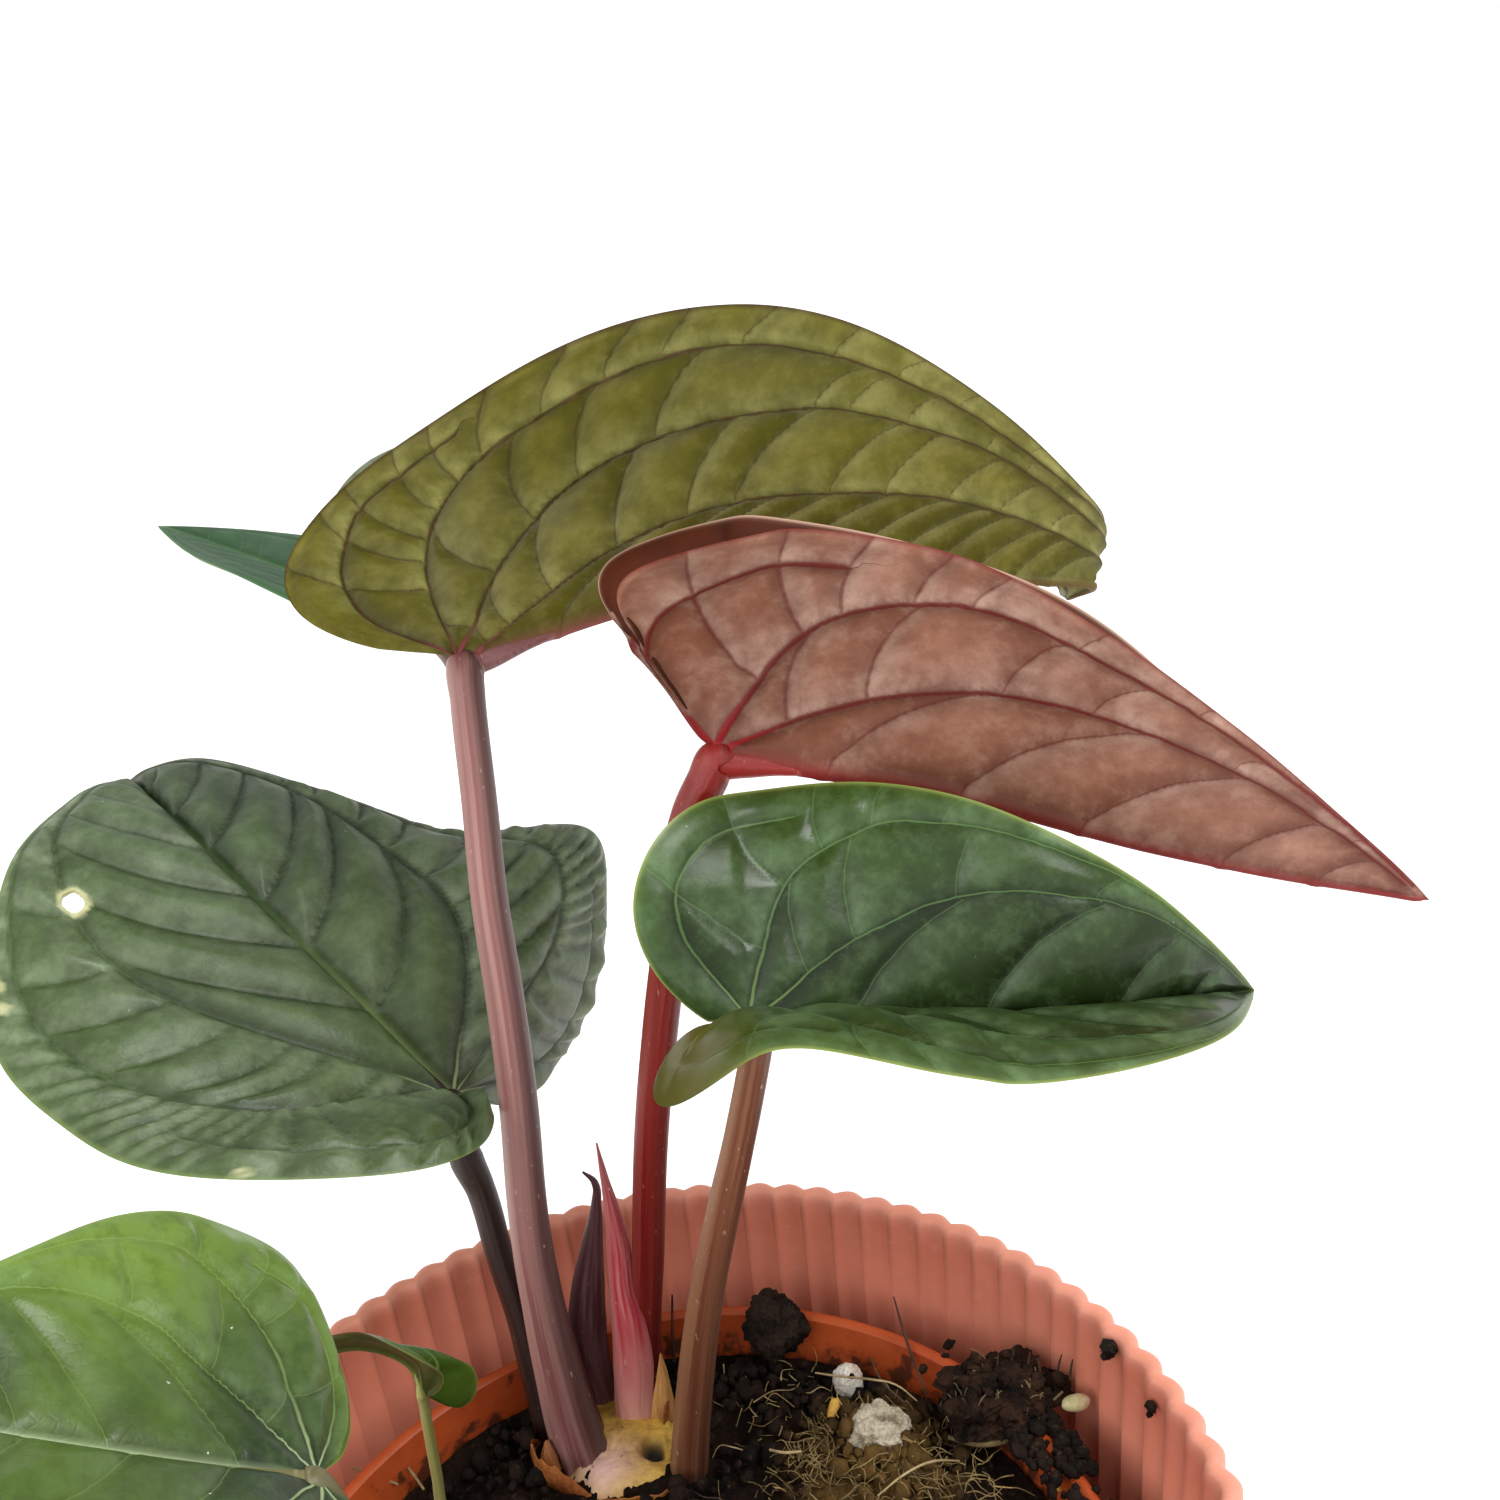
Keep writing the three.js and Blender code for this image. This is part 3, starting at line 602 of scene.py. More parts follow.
OLIVE_INNER = [(0, 0.01), (0.03, 0.04), (0.1, 0.15), (0.21, 0.27), (0.34, 0.32), (0.51, 0.31), (0.65, 0.27),
               (0.79, 0.18), (0.92, 0.06)]
OLIVE_MIDDLE = [(0, 0.02), (0.02, 0.14), (0.06, 0.36), (0.14, 0.54), (0.24, 0.61), (0.44, 0.6), (0.53, 0.55),
                (0.68, 0.43), (0.78, 0.31), (0.9, 0.14), (0.98, 0.02)]
OLIVE_OUTER = [(0, 0.04), (-0.1, 0.38), (-0.05, 0.58), (0.03, 0.75), (0.1, 0.83), (0.25, 0.86), (0.4, 0.8),
               (0.6, 0.6), (0.8, 0.33), (0.96, 0.08)]
OLIVE_LOBE = [(-0.05, 0.04), (-0.5, 0.3), (-0.62, 0.45), (-0.64, 0.6), (-0.48, 0.8), (-0.15, 0.88),
              (0.05, 0.93)]

LEAVES = {
    "olive": dict(
        midrib=[(-6.6, 80.5, 228.4), (39.1, 83.8, 232.3), (98.2, 82.8, 223.7), (102.3, 94.6, 217.7)],
        half_width=57, lobe=26, opening=0.03,
        left=dict(fold=(46, 18), curl=-28, droop=0, pitch=-30),
        right=dict(fold=(42, 81), curl=1, droop=-4, pitch=-14),
        arches=[OLIVE_INNER, OLIVE_MIDDLE, OLIVE_OUTER, OLIVE_LOBE],
        quilt=2.1, rib=1.7, ridge=0.4, cross=(12, 11, 12, 15)),
    "bronze": dict(
        midrib=[(26.3, 39.1, 219.1), (57.2, 36.2, 208.6), (88.3, 25.4, 196.8), (119.7, 15.4, 187.7)],
        half_width=38.3, lobe=25.2, opening=0.21,
        left=dict(fold=(47.6, 45.4), curl=10.4, droop=-18.7, pitch=-20),
        right=dict(fold=(80.9, 78.3), curl=-29.5, droop=-16.4, pitch=-16),
        arches=[INNER, OUTER, LOBE], quilt=1.2, rib=1.5, ridge=0.35, cross=(5, 6, 9)),
    "glossy": dict(
        midrib=[(23.5, 17.4, 188.9), (46.3, 14.4, 186), (68.6, 10.8, 184.5), (93, 15.6, 179.3)],
        half_width=32.5, lobe=12.6, opening=-0.07,
        left=dict(fold=(57, 94.5), curl=-18.7, droop=21.7, pitch=13.3),
        right=dict(fold=(45.7, 11.8), curl=-34, droop=-23, pitch=27.6),
        arches=[INNER, OUTER, LOBE], quilt=1.6, rib=0.9, ridge=0.15, cross=(4, 5, 8)),
    "dark": dict(
        midrib=[(-22.2, 69.1, 156.3), (-42, 85.3, 180.1), (-61.2, 107.9, 196.3), (-77.1, 136.4, 200.2)],
        half_width=52.6, lobe=19.8, opening=0, crown=4,
        margin={
            1: [(-22.2, 69.1, 156.3), (-16.4, 59.7, 159.9), (-14.2, 49.2, 162.9), (-17.4, 39.1, 164.8),
                (-29.6, 33.7, 167.9), (-55.4, 34.7, 173.9), (-72.5, 48, 176.8), (-86.8, 67.9, 184.2),
                (-87.1, 93.4, 201), (-81.8, 116.6, 204.4), (-79.6, 129.5, 202.5), (-77.1, 136.4, 200.2)],
            -1: [(-22.2, 69.1, 156.3), (-17.5, 76.6, 148.9), (-11.6, 86.9, 142.4), (-2.9, 97.4, 142.9),
                 (5.7, 105.2, 151.9), (10.6, 111.1, 166.1), (9.4, 114.7, 181.9), (-16.2, 119.9, 183.7),
                 (-38.8, 126, 194.4), (-59.7, 131.3, 203.4), (-71.1, 134.3, 203), (-77.1, 136.4, 200.2)]},
        arches=[INNER, OUTER, LOBE], quilt=3.0, rib=0.8, ridge=0.2, cross=(6, 12, 26)),
    "pale": dict(
        midrib=[(-37.9, -7.4, 158.9), (-51.1, -10.9, 170.1), (-66.1, -12.7, 181.2), (-84, -10.6, 191.5)],
        half_width=37.4, lobe=9, opening=0,
        left=dict(fold=(5, 5), curl=-10, droop=0, pitch=0),
        right=dict(fold=(5, 8), curl=12, droop=-9, pitch=1),
        soft_part=9, arches=[INNER, OUTER, LOBE], quilt=2.2, rib=0.5, rib_line=0.12, ridge=0.12,
        cross=(5, 5, 8)),
    "rear": dict(
        midrib=[(-20, 103, 231.5), (-33, 113.5, 238.5), (-46.5, 125, 243.5), (-59.6, 135.6, 248.4)],
        half_width=20, lobe=13, opening=0,
        left=dict(fold=(19, 15), curl=2.5, droop=0, pitch=0),
        right=dict(fold=(9, 10), curl=-13, droop=11, pitch=-9),
        arches=[INNER, OUTER], quilt=0.8, rib=0.6, ridge=0.15, cross=(7, 8)),
    "small": dict(
        midrib=[(-30.1, 28.5, 134.1), (-31, 27.6, 140.5), (-36.5, 25, 147.6), (-47, 21.5, 151)],
        half_width=8.5, lobe=7, opening=0.1, crown=0.5,
        margin={
            1: [(-30.1, 28.5, 134.1), (-29.5, 28, 133.8), (-28.6, 27.4, 134.3), (-27.4, 26.8, 135.5),
                (-26.5, 26, 137.6), (-26.6, 25.2, 140), (-28.2, 24, 143.2), (-30.6, 22.6, 147.5),
                (-33.9, 21.2, 152.5), (-36.3, 20.4, 154.2), (-39.8, 20.6, 153.9), (-47, 21.5, 151)],
            -1: [(-30.1, 28.5, 134.1), (-29.2, 30.3, 132.3), (-27.8, 31.4, 128.4), (-26.2, 32.5, 126),
                 (-24.1, 33.5, 126.4), (-23.1, 34, 128.7), (-23.6, 33.5, 132.6), (-27.1, 31.5, 137.4),
                 (-32.3, 28.5, 142.8), (-35.9, 25, 148.9), (-39.9, 22.6, 151.6), (-47, 21.5, 151)]},
        arches=[INNER], quilt=0.15, rib=0.4, ridge=0.1, cross=(5,)),
}
# Rows along each blade and columns in each of its halves
GRIDS = {"olive": (250, 76), "bronze": (210, 66), "glossy": (170, 58), "dark": (240, 76), "pale": (150, 58),
         "rear": (90, 34), "small": (50, 22)}
print("midribs in mm", {name: round(float(Blade(leaf).length)) for name, leaf in LEAVES.items()})

# %% [markdown]
# Between one arch and the next run cross veins, closer together toward the tip. The blade swells up
# between its veins like a quilt. So each corner of the grid needs its distance to the nearest vein: this
# is worked out on the flat leaf, and kept on the mesh as marks that the finish reads as well.
# %% Veins and distances
FAR = 99.0
MOST_ARCHES = 4
KNEE_PLACE = 0.55
KNEE_TURN = 0.35


def reaches_tip(blade, arch):
    return arch[-1, 0] > blade.length * 0.5


def cross_vein(inner, outer, start, ahead, longest):
    """A bent line from a share of the inner vein to the outer one. None is drawn where they are far apart."""
    foot, beyond = smooth_curve(inner, np.array([start, min(start + 0.02, 1)]))
    want = math.atan2(*(beyond - foot)[::-1]) + ahead
    away = outer - foot
    turn = np.abs((np.arctan2(away[:, 1], away[:, 0]) - want + math.pi) % math.tau - math.pi)
    head = outer[np.argmin(turn + 0.004 * np.hypot(*away.T))]
    size = np.linalg.norm(head - foot)
    if size >= longest:
        return []
    knee = foot + KNEE_PLACE * size * np.array([math.cos(want + KNEE_TURN), math.sin(want + KNEE_TURN)])
    t = np.linspace(0, 0.98, 9)[:, None]
    return [foot * (1 - t) ** 2 + knee * 2 * t * (1 - t) + head * t ** 2]


def vein_lines(blade, side):
    """Arches of one half, and the cross veins of each band between them, on the flat leaf in millimetres."""
    leaf = blade.leaf
    arches = []
    for points in leaf["arches"]:
        placed = [(x * (blade.length if x >= 0 else leaf["lobe"]), y * leaf["half_width"]) for x, y in points]
        arches.append(smooth_curve(placed, np.linspace(0, 1, 60)))
    rim = smooth_curve(blade.outline, even_shares(blade.outline, 80, RIM_START))
    rib = np.stack([np.linspace(0, blade.length, 60), np.zeros(60)], 1)
    bands = [rib] + [arch for arch in arches if reaches_tip(blade, arch)] + [rim]
    chance = random.Random(int(leaf["half_width"] * 10) + side)
    crosses = []
    for band, (inner, outer, count) in enumerate(zip(bands, bands[1:], leaf["cross"])):
        ahead = math.radians(42 if band == 0 else 58)
        crosses.append([])
        for step in range(count):
            start = 0.07 + 0.86 * ((step + 0.5 + chance.uniform(-0.2, 0.2)) / count) ** 0.9
            crosses[-1] += cross_vein(inner, outer, start, ahead, 0.8 * leaf["half_width"])
    return arches, crosses


def distance_to(line, x, y):
    """Distance from each place to the line, above zero on its left and below zero on its right."""
    nearest = np.full(x.shape, FAR)
    for start, end in zip(line[:-1], line[1:]):
        run = end - start
        share = np.clip(((x - start[0]) * run[0] + (y - start[1]) * run[1]) / (run @ run + 1e-12), 0, 1)
        gap = np.hypot(x - start[0] - share * run[0], y - start[1] - share * run[1])
        left = run[0] * (y - start[1]) - run[1] * (x - start[0])
        nearest = np.where(gap < np.abs(nearest), np.copysign(gap, left), nearest)
    return nearest


def distance_to_crosses(band, crosses, x, y):
    """Distance to the nearest cross vein of a place's own band: with a sign that changes only on a vein, and
    above zero on the side toward the tip."""
    found, ahead = np.full(x.shape, FAR), np.full(x.shape, FAR)
    for number, lines in enumerate(crosses):
        nearest, order_there = np.full(x.shape, FAR), np.zeros(x.shape)
        for order, line in enumerate(lines):
            gap = distance_to(line, x, y)
            closer = np.abs(gap) < np.abs(nearest)
            nearest, order_there = np.where(closer, gap, nearest), np.where(closer, order, order_there)
        ahead = np.where(band == number, -nearest, ahead)
        found = np.where(band == number, nearest * (-1) ** order_there, found)
    return found, ahead


olive_crosses = vein_lines(Blade(LEAVES["olive"]), 1)[1]
print("cross veins in the olive leaf's left half", [len(band) for band in olive_crosses])


# %% [markdown]
# The grid itself is worked out as two tables with a row and a column for each corner: where the corner
# lies in space, and how far it is from everything that the relief and the colours follow. The margin's
# sharp corners are taken off here, as no real leaf has them.
# %% Grid of a blade
def soften(value):
    value = np.clip(value, 0, 1)
    return value * value * (3 - 2 * value)


def rounded(rim, part):
    """The rim line with its corners taken off over one part of its length, its two ends kept."""
    count = len(rim)
    reach = max(count // part, 2)
    weights = np.exp(-np.linspace(-2, 2, 2 * reach + 1) ** 2)
    padded = np.pad(rim, ((reach, reach), (0, 0)), mode="edge")
    soft = sum(weight * padded[step:step + count] for step, weight in enumerate(weights)) / weights.sum()
    hold = soften(np.minimum(np.arange(count), count - 1 - np.arange(count)) / (1.6 * reach))[:, None]
    return rim + (soft - rim) * hold


def half_fields(blade, row, out, side):
    """Distances and shares of one half: to its veins, its rib and its rim, and along and out of the leaf."""
    x, y, foot, edge = blade.flat(row, out)
    arches, crosses = vein_lines(blade, side)
    gaps = [distance_to(arch, x, y) for arch in arches]
    long_gaps = [gap for gap, arch in zip(gaps, arches) if reaches_tip(blade, arch)]
    band = sum((gap > 0).astype(int) for gap in long_gaps) + np.zeros(x.shape, int)
    cross, ahead = distance_to_crosses(band, crosses, x, y)
    span = np.hypot(edge[..., 0] - foot * blade.length, edge[..., 1])
    from_first = np.hypot(x - edge[0, -1, 0] * out, y - edge[0, -1, 1] * out)
    found = dict(cross=cross, ahead=ahead, rib=y + np.maximum(-x, 0) * 3, near=np.hypot(x, y), out=y,
                 side=side * out, rim=np.minimum((1 - out) * span, from_first), along=x / blade.length)
    found.update({f"arch_{number}": gap for number, gap in enumerate(gaps)})
    return found


def blade_grid(name):
    """A blade, the places of its middle surface, and the fields, by row and column of its grid."""
    blade = Blade(LEAVES[name])
    rows, columns = GRIDS[name]
    row_shares = even_shares(blade.outline, rows + 1, FIRST_ROW)
    row, out = np.meshgrid(row_shares, np.linspace(0, 1, columns + 1) ** 1.15, indexing="ij")
    middle = np.zeros((rows + 1, 2 * columns + 1, 3))
    fields = {f"arch_{number}": np.full(middle.shape[:2], FAR) for number in range(MOST_ARCHES)}
    for side in (1, -1):
        kept = slice(columns, None) if side > 0 else slice(None, columns + 1)
        placed = blade.place(row, out, side)
        shift = rounded(placed[:, -1], blade.leaf.get("soft_part", SOFT_PART)) - placed[:, -1]
        placed += shift[:, None] * (out ** 2)[..., None]
        middle[:, kept] = placed[:, ::side]
        for key, value in half_fields(blade, row, out, side).items():
            fields.setdefault(key, np.full(middle.shape[:2], FAR))[:, kept] = value[:, ::side]
    return blade, middle, fields


def surface_normals(middle):
    """Normals of the grid, from its own two directions, smoothed over their neighbours."""
    normal = np.cross(np.gradient(middle, axis=0), np.gradient(middle, axis=1))
    size = np.linalg.norm(normal, axis=-1, keepdims=True)
    normal = normal / np.maximum(size, 1e-12)
    normal[size[..., 0] < 1e-6] = 0
    for _ in range(8):
        padded = np.pad(normal, ((1, 1), (1, 1), (0, 0)), mode="edge")
        normal = sum(padded[1 + a:padded.shape[0] - 1 + a, 1 + b:padded.shape[1] - 1 + b]
                     for a in (-1, 0, 1) for b in (-1, 0, 1))
        normal /= np.maximum(np.linalg.norm(normal, axis=-1, keepdims=True), 1e-12)
    return normal


# %% [markdown]
# Two grids make a blade, one for each face. They share the margin, so their doubles merge there into a
# thin closed edge. The upper face swells between the veins, and the lower one follows it, with the veins
# and the thick midrib standing out of it as ridges.
# %% A blade from two grids
THICKNESS = 0.7
THIN_EDGE = 1.4
# A hole and the pale dried patches of the dark leaf: place ahead and out, and reach along and across, in mm
HOLE = (0.57, 0.47, 2.15, 1.65)
DRY_PATCHES = [(0.51, 0.76, 1.9, 0.8), (0.47, 0.79, 1.2, 0.9), (-0.04, 0.94, 0.7, 0.6)]
SCARRED = "dark"


def relief(leaf, middle, fields, normal, from_arch, from_cross, swell):
    """Places of the upper and the lower face, in millimetres."""
    thin = soften(fields["rim"] / THIN_EDGE)
    x = np.clip(fields["along"], 0, 1)
    bend = [0.35 * noise.noise(Vector(spot) * 0.05) for spot in middle.reshape(-1, 3)]
    tip_fade = soften((1 - fields["along"]) / 0.1)
    lift = leaf["quilt"] * swell * tip_fade * soften(fields["rim"] / 5)
    lift = lift + np.array(bend).reshape(x.shape) * thin
    rib_ridge = np.sqrt(np.maximum((leaf["rib"] * (1 - 0.75 * x)) ** 2 - fields["rib"] ** 2, 0)) * thin
    vein_ridge = leaf["ridge"] * (np.exp(-(from_arch / 0.8) ** 2) + 0.5 * np.exp(-(from_cross / 0.7) ** 2))
    rib_furrow = 0.25 * np.exp(-(fields["rib"] / 0.8) ** 2) * thin
    upper = middle + normal * (lift + THICKNESS / 2 * thin - rib_furrow)[..., None]
    lower = middle + normal * (lift - THICKNESS / 2 * thin - (rib_ridge + vein_ridge * thin))[..., None]
    seam = thin < 1e-9
    lower[seam] = upper[seam]
    return upper, lower


def scar_mask(blade, fields):
    """1 on dried patches and round the hole, 2 inside the hole, on the left half."""

    def distance_in(spot):
        share, reach_out, long, wide = spot
        ahead = (fields["along"] - share) * blade.length / long
        out = (fields["out"] - reach_out * blade.leaf["half_width"]) / wide
        return np.where(fields["side"] > 0, np.hypot(ahead, out), 9)

    from_hole = distance_in(HOLE)
    mask = np.where(from_hole < 1, 2, soften((1.42 - from_hole) / 0.25))
    for patch in DRY_PATCHES:
        mask = np.maximum(mask, soften((1.15 - distance_in(patch)) / 0.4) * 0.8)
    return mask


def grid_layer(shape, places, name):
    """A grid with its corners at the places, and the row and the column of each corner."""
    deselect()
    bpy.ops.mesh.primitive_grid_add(x_subdivisions=shape[1] - 1, y_subdivisions=shape[0] - 1, size=2)
    layer = bpy.context.object
    layer.name = name
    corners = points_of(layer)
    column = np.rint((corners[:, 0] + 1) / 2 * (shape[1] - 1)).astype(int)
    row = np.rint((corners[:, 1] + 1) / 2 * (shape[0] - 1)).astype(int)
    set_points(layer, places[row, column] * MM)
    return layer, row, column


def make_blade(name, upper_material, lower_material):
    leaf = LEAVES[name]
    blade, middle, fields = blade_grid(name)
    rows, columns = GRIDS[name]
    normal = surface_normals(middle)
    if normal[rows // 2, columns + 5] @ blade.frame_at(np.array([0.4]))[3][0] < 0:
        normal = -normal
    arches = np.array([fields[f"arch_{number}"] for number in range(MOST_ARCHES)])
    from_arch, from_cross = np.abs(arches).min(axis=0), np.abs(fields["cross"])
    nearest = np.minimum(np.minimum(from_arch, from_cross * 1.15 + 0.35), fields["rib"])
    swell = 1 - np.exp(-nearest / 3.2)
    upper, lower = relief(leaf, middle, fields, normal, from_arch, from_cross, swell)
    rib_width = leaf.get("rib_line", 0.35) + leaf["rib"] * 0.45 * (1 - np.clip(fields["along"], 0, 1))
    ribs, margin = np.exp(-(fields["rib"] / rib_width) ** 2), np.exp(-np.maximum(fields["rim"], 0) / 0.28)
    past_arch = (soften((arches + 0.4) / 1.4) * np.exp(-np.abs(arches) / 4.5)).max(axis=0)
    past_cross = soften((fields["ahead"] + 0.5) / 1.5) * np.exp(-np.abs(fields["ahead"]) / 2.6)
    lit = np.clip(past_arch * 0.65 + past_cross * 0.75, 0, 1) * soften(nearest / 0.7)
    scar = scar_mask(blade, fields) if name == SCARRED else np.zeros(lit.shape)
    marks = {"leaf_marks": np.stack([ribs, fields["cross"], swell, margin], -1),
             "leaf_lines": np.stack(arches, -1), "along": fields["along"], "near": fields["near"],
             "lit": lit, "side": fields["side"], "scar": scar}
    layers = []
    for places, key, material in ((upper, "upper", upper_material), (lower, "lower", lower_material)):
        layer, row, column = grid_layer(lit.shape, places, f"{name}_{key}")
        for mark, values in marks.items():
            write_marks(layer, mark, "FLOAT_COLOR" if values.ndim == 3 else "FLOAT", values[row, column])
        layer.data.materials.append(material)
        face = layer.data.polygons[(rows // 2) * 2 * columns + columns + 5]
        facing = np.array(face.normal) @ normal[row[face.vertices[0]], column[face.vertices[0]]]
        if (facing < 0) == (key == "upper"):
            edit(layer, bpy.ops.mesh.flip_normals)
        layers.append(layer)
    piece = join(layers)
    edit(piece, bpy.ops.mesh.remove_doubles, threshold=0.00001)
    if name == SCARRED:
        open_hole(piece)
    return piece


# %% [markdown]
# The dark leaf has been eaten through. The faces inside the hole's mark are deleted from both sides of
# the sheet, the two rims are smoothed, and a bridge between them closes the sheet again.
# %% Hole
IN_HOLE = 1.5


def open_hole(piece):
    def in_hole(part):
        return bool(min(marks[list(part.vertices)]) > IN_HOLE)

    marks = scar_marks(piece)
    activate(piece)
    bpy.ops.object.mode_set(mode="EDIT")
    bpy.ops.mesh.select_mode(type="FACE")
    bpy.ops.mesh.select_all(action="DESELECT")
    bpy.ops.object.mode_set(mode="OBJECT")
    for face in piece.data.polygons:
        face.select = in_hole(face)
    print("hole faces", sum(face.select for face in piece.data.polygons))
    bpy.ops.object.mode_set(mode="EDIT")
    bpy.ops.mesh.delete(type="FACE")
    bpy.ops.mesh.select_mode(type="EDGE")
    bpy.ops.mesh.select_all(action="DESELECT")
    bpy.ops.mesh.select_non_manifold(use_wire=False, use_multi_face=False, use_non_contiguous=False,
                                     use_verts=False)
    bpy.ops.object.mode_set(mode="OBJECT")
    marks = scar_marks(piece)
    for edge in piece.data.edges:
        edge.select = edge.select and in_hole(edge)
    print("hole rim edges", sum(edge.select for edge in piece.data.edges))
    bpy.ops.object.mode_set(mode="EDIT")
    bpy.ops.mesh.vertices_smooth(factor=0.5, repeat=6)
    bpy.ops.mesh.bridge_edge_loops()
    bpy.ops.mesh.select_mode(type="VERT")
    bpy.ops.object.mode_set(mode="OBJECT")


def scar_marks(piece):
    marks = np.zeros(len(piece.data.vertices))
    piece.data.attributes["scar"].data.foreach_get("value", marks)
    return marks


# %% [markdown]
# A leaf's skin is one group for all blades. It reads the marks on the mesh: the crowns between veins are
# lighter than the valleys, whose darker tone is painted shade, the lit side of each pillow is painted light,
# and on some leaves one half is lightened or darkened as painted light and shade. The cross veins and
# arches draw darker or paler lines, the midrib has its own colour, and a thin line runs round the margin. A
# net of tiny fields gives the surface its fine grain.
# %% Skin of a leaf
TONES = ("Valley", "Crown", "Far crown", "Patch", "Vein", "Rib base", "Rib", "Margin", "Lit", "Lobe")
AMOUNTS = ("Width", "Veins", "Ribs", "Margins", "Lobes", "Specks", "Tilt", "Edge", "Lit amount")


def line_mask(gap, width):
    """1 on a line and 0 away from it, from the distance to the line and its half width in millimetres."""
    return gap.spread(width * 0.5, width * 1.4, 1, 0)


def net_of_fields(tree, scale):
    """1 inside tiny fields and 0 on the borders between them."""
    values = {"Vector": object_places(tree), "Scale": scale}
    return add_node(tree, "ShaderNodeTexVoronoi", values, feature="DISTANCE_TO_EDGE")[0].spread(0, 0.12)


def build_skin(tree, given):
    rib_mark, cross_gap, swell = channels_of(tree, "leaf_marks")
    arch_gaps = channels_of(tree, "leaf_lines") + [attribute(tree, "leaf_lines", "Alpha")]
    along, near, side = (attribute(tree, name) for name in ("along", "near", "side"))
    wobble = (cloud(tree, 170, 2) - 0.5) * 0.9
    gaps = [abs(gap + wobble) for gap in arch_gaps + [cross_gap]]
    width = given["Width"] * along.spread(0, 0.85, 1.5, 0.6)
    arch = line_mask(gaps[0].least(gaps[1]).least(gaps[2].least(gaps[3])), width)
    veins = arch.most(line_mask(gaps[4], width * 0.7) * 0.6)
    broad = cloud(tree, 55).spread(0.35, 0.65)
    net = net_of_fields(tree, 620)
    grain = cloud(tree, 240, 6, rough=0.7)
    # The crown tone runs from the junction to the tip: partly the leaf's own colour, partly painted light.
    crown_tone = mix(tree, given["Crown"], given["Far crown"], along.spread(0.1, 0.75))
    # Painted light and shade: the patch tone goes over one half of the leaf, lighter or darker by its amount.
    painted_half_light_share = side.maths("MULTIPLY", given["Tilt"], True) ** 1.8
    patches = cloud(tree, 24, 3).spread(0.5, 0.72, 0, 0.5).maths("ADD", painted_half_light_share, True)
    patches = patches.maths("ADD", abs(side) ** 4 * given["Edge"], True)
    lit = attribute(tree, "lit") * cloud(tree, 120, 5).spread(0.35, 0.65, 0.35, 1) * given["Lit amount"]
    # Painted shade: the valley tone stays where the swell is low, between the pillows. The lit tone over it
    # is painted light.
    colour = layered(
        tree, given["Valley"],
        (crown_tone, swell * (broad * 0.4 + 0.6)),
        (given["Patch"], patches),
        (given["Lit"], lit),
        (given["Valley"], grain.spread(0.36, 0.5, 0.26, 0)),
        (given["Lit"], grain.spread(0.5, 0.66, 0, 0.15)))
    colour = mix(tree, mix(tree, colour, given["Valley"], 0.04), colour, net)
    rib_tone = mix(tree, given["Rib base"], given["Rib"], along.spread(0.05, 0.45))
    ribs = rib_mark.most(arch * near.spread(2, 11, 1, 0))
    turned_up = along.spread(0.01, -0.09) * side.spread(0, -0.12)
    dried = mix(tree, "#8f945c", "#d3cfa2", cloud(tree, 500, 3))
    colour = layered(
        tree, colour,
        (given["Vein"], veins * given["Veins"]),
        (rib_tone, ribs * given["Ribs"]),
        (given["Margin"], attribute(tree, "leaf_marks", "Alpha") * given["Margins"]),
        (given["Lobe"], turned_up * given["Lobes"]),
        ("#e4e6d4", cloud(tree, 700, 3).spread(0.755, 0.775) * given["Specks"]),
        (dried, attribute(tree, "scar").least(1)))
    height = net * 0.5 + cloud(tree, 1500, 2) - veins * 1.2
    return colour, height, broad * 0.12 + veins * 0.1


skin_inputs = {**dict.fromkeys(TONES, COLOUR), **dict.fromkeys(AMOUNTS, NUMBER)}
skin = group("leaf_skin", skin_inputs, {"Color": COLOUR, "Height": NUMBER, "Rough": NUMBER}, build_skin)
print("leaf skin nodes", len(skin.nodes))


def leaf_material(name, roughness, tones, bump=0.1, shine=0.4, width=0.3, veins=0.8, ribs=0.9, margins=0.8,
                  specks=0.0, painted_half_light=0.0, edge=0.0, lobe=None, lit=None, lit_amount=0.5):
    """A leaf's finish. Only a leaf with a turned-up lobe or with lit pillows names their tones."""
    tones = tones.split()
    values = dict(zip(TONES, tones + [lit or tones[1], lobe or tones[0]]))
    amounts = (width, veins, ribs, margins, float(bool(lobe)), specks, painted_half_light, edge, lit_amount if lit else 0.0)
    values.update(zip(AMOUNTS, amounts))

    def paint(tree):
        colour, height, rough = use_group(tree, skin, values)
        return colour, rough + roughness, height

    return new_material(name, paint, bump, 0.0003, shine)
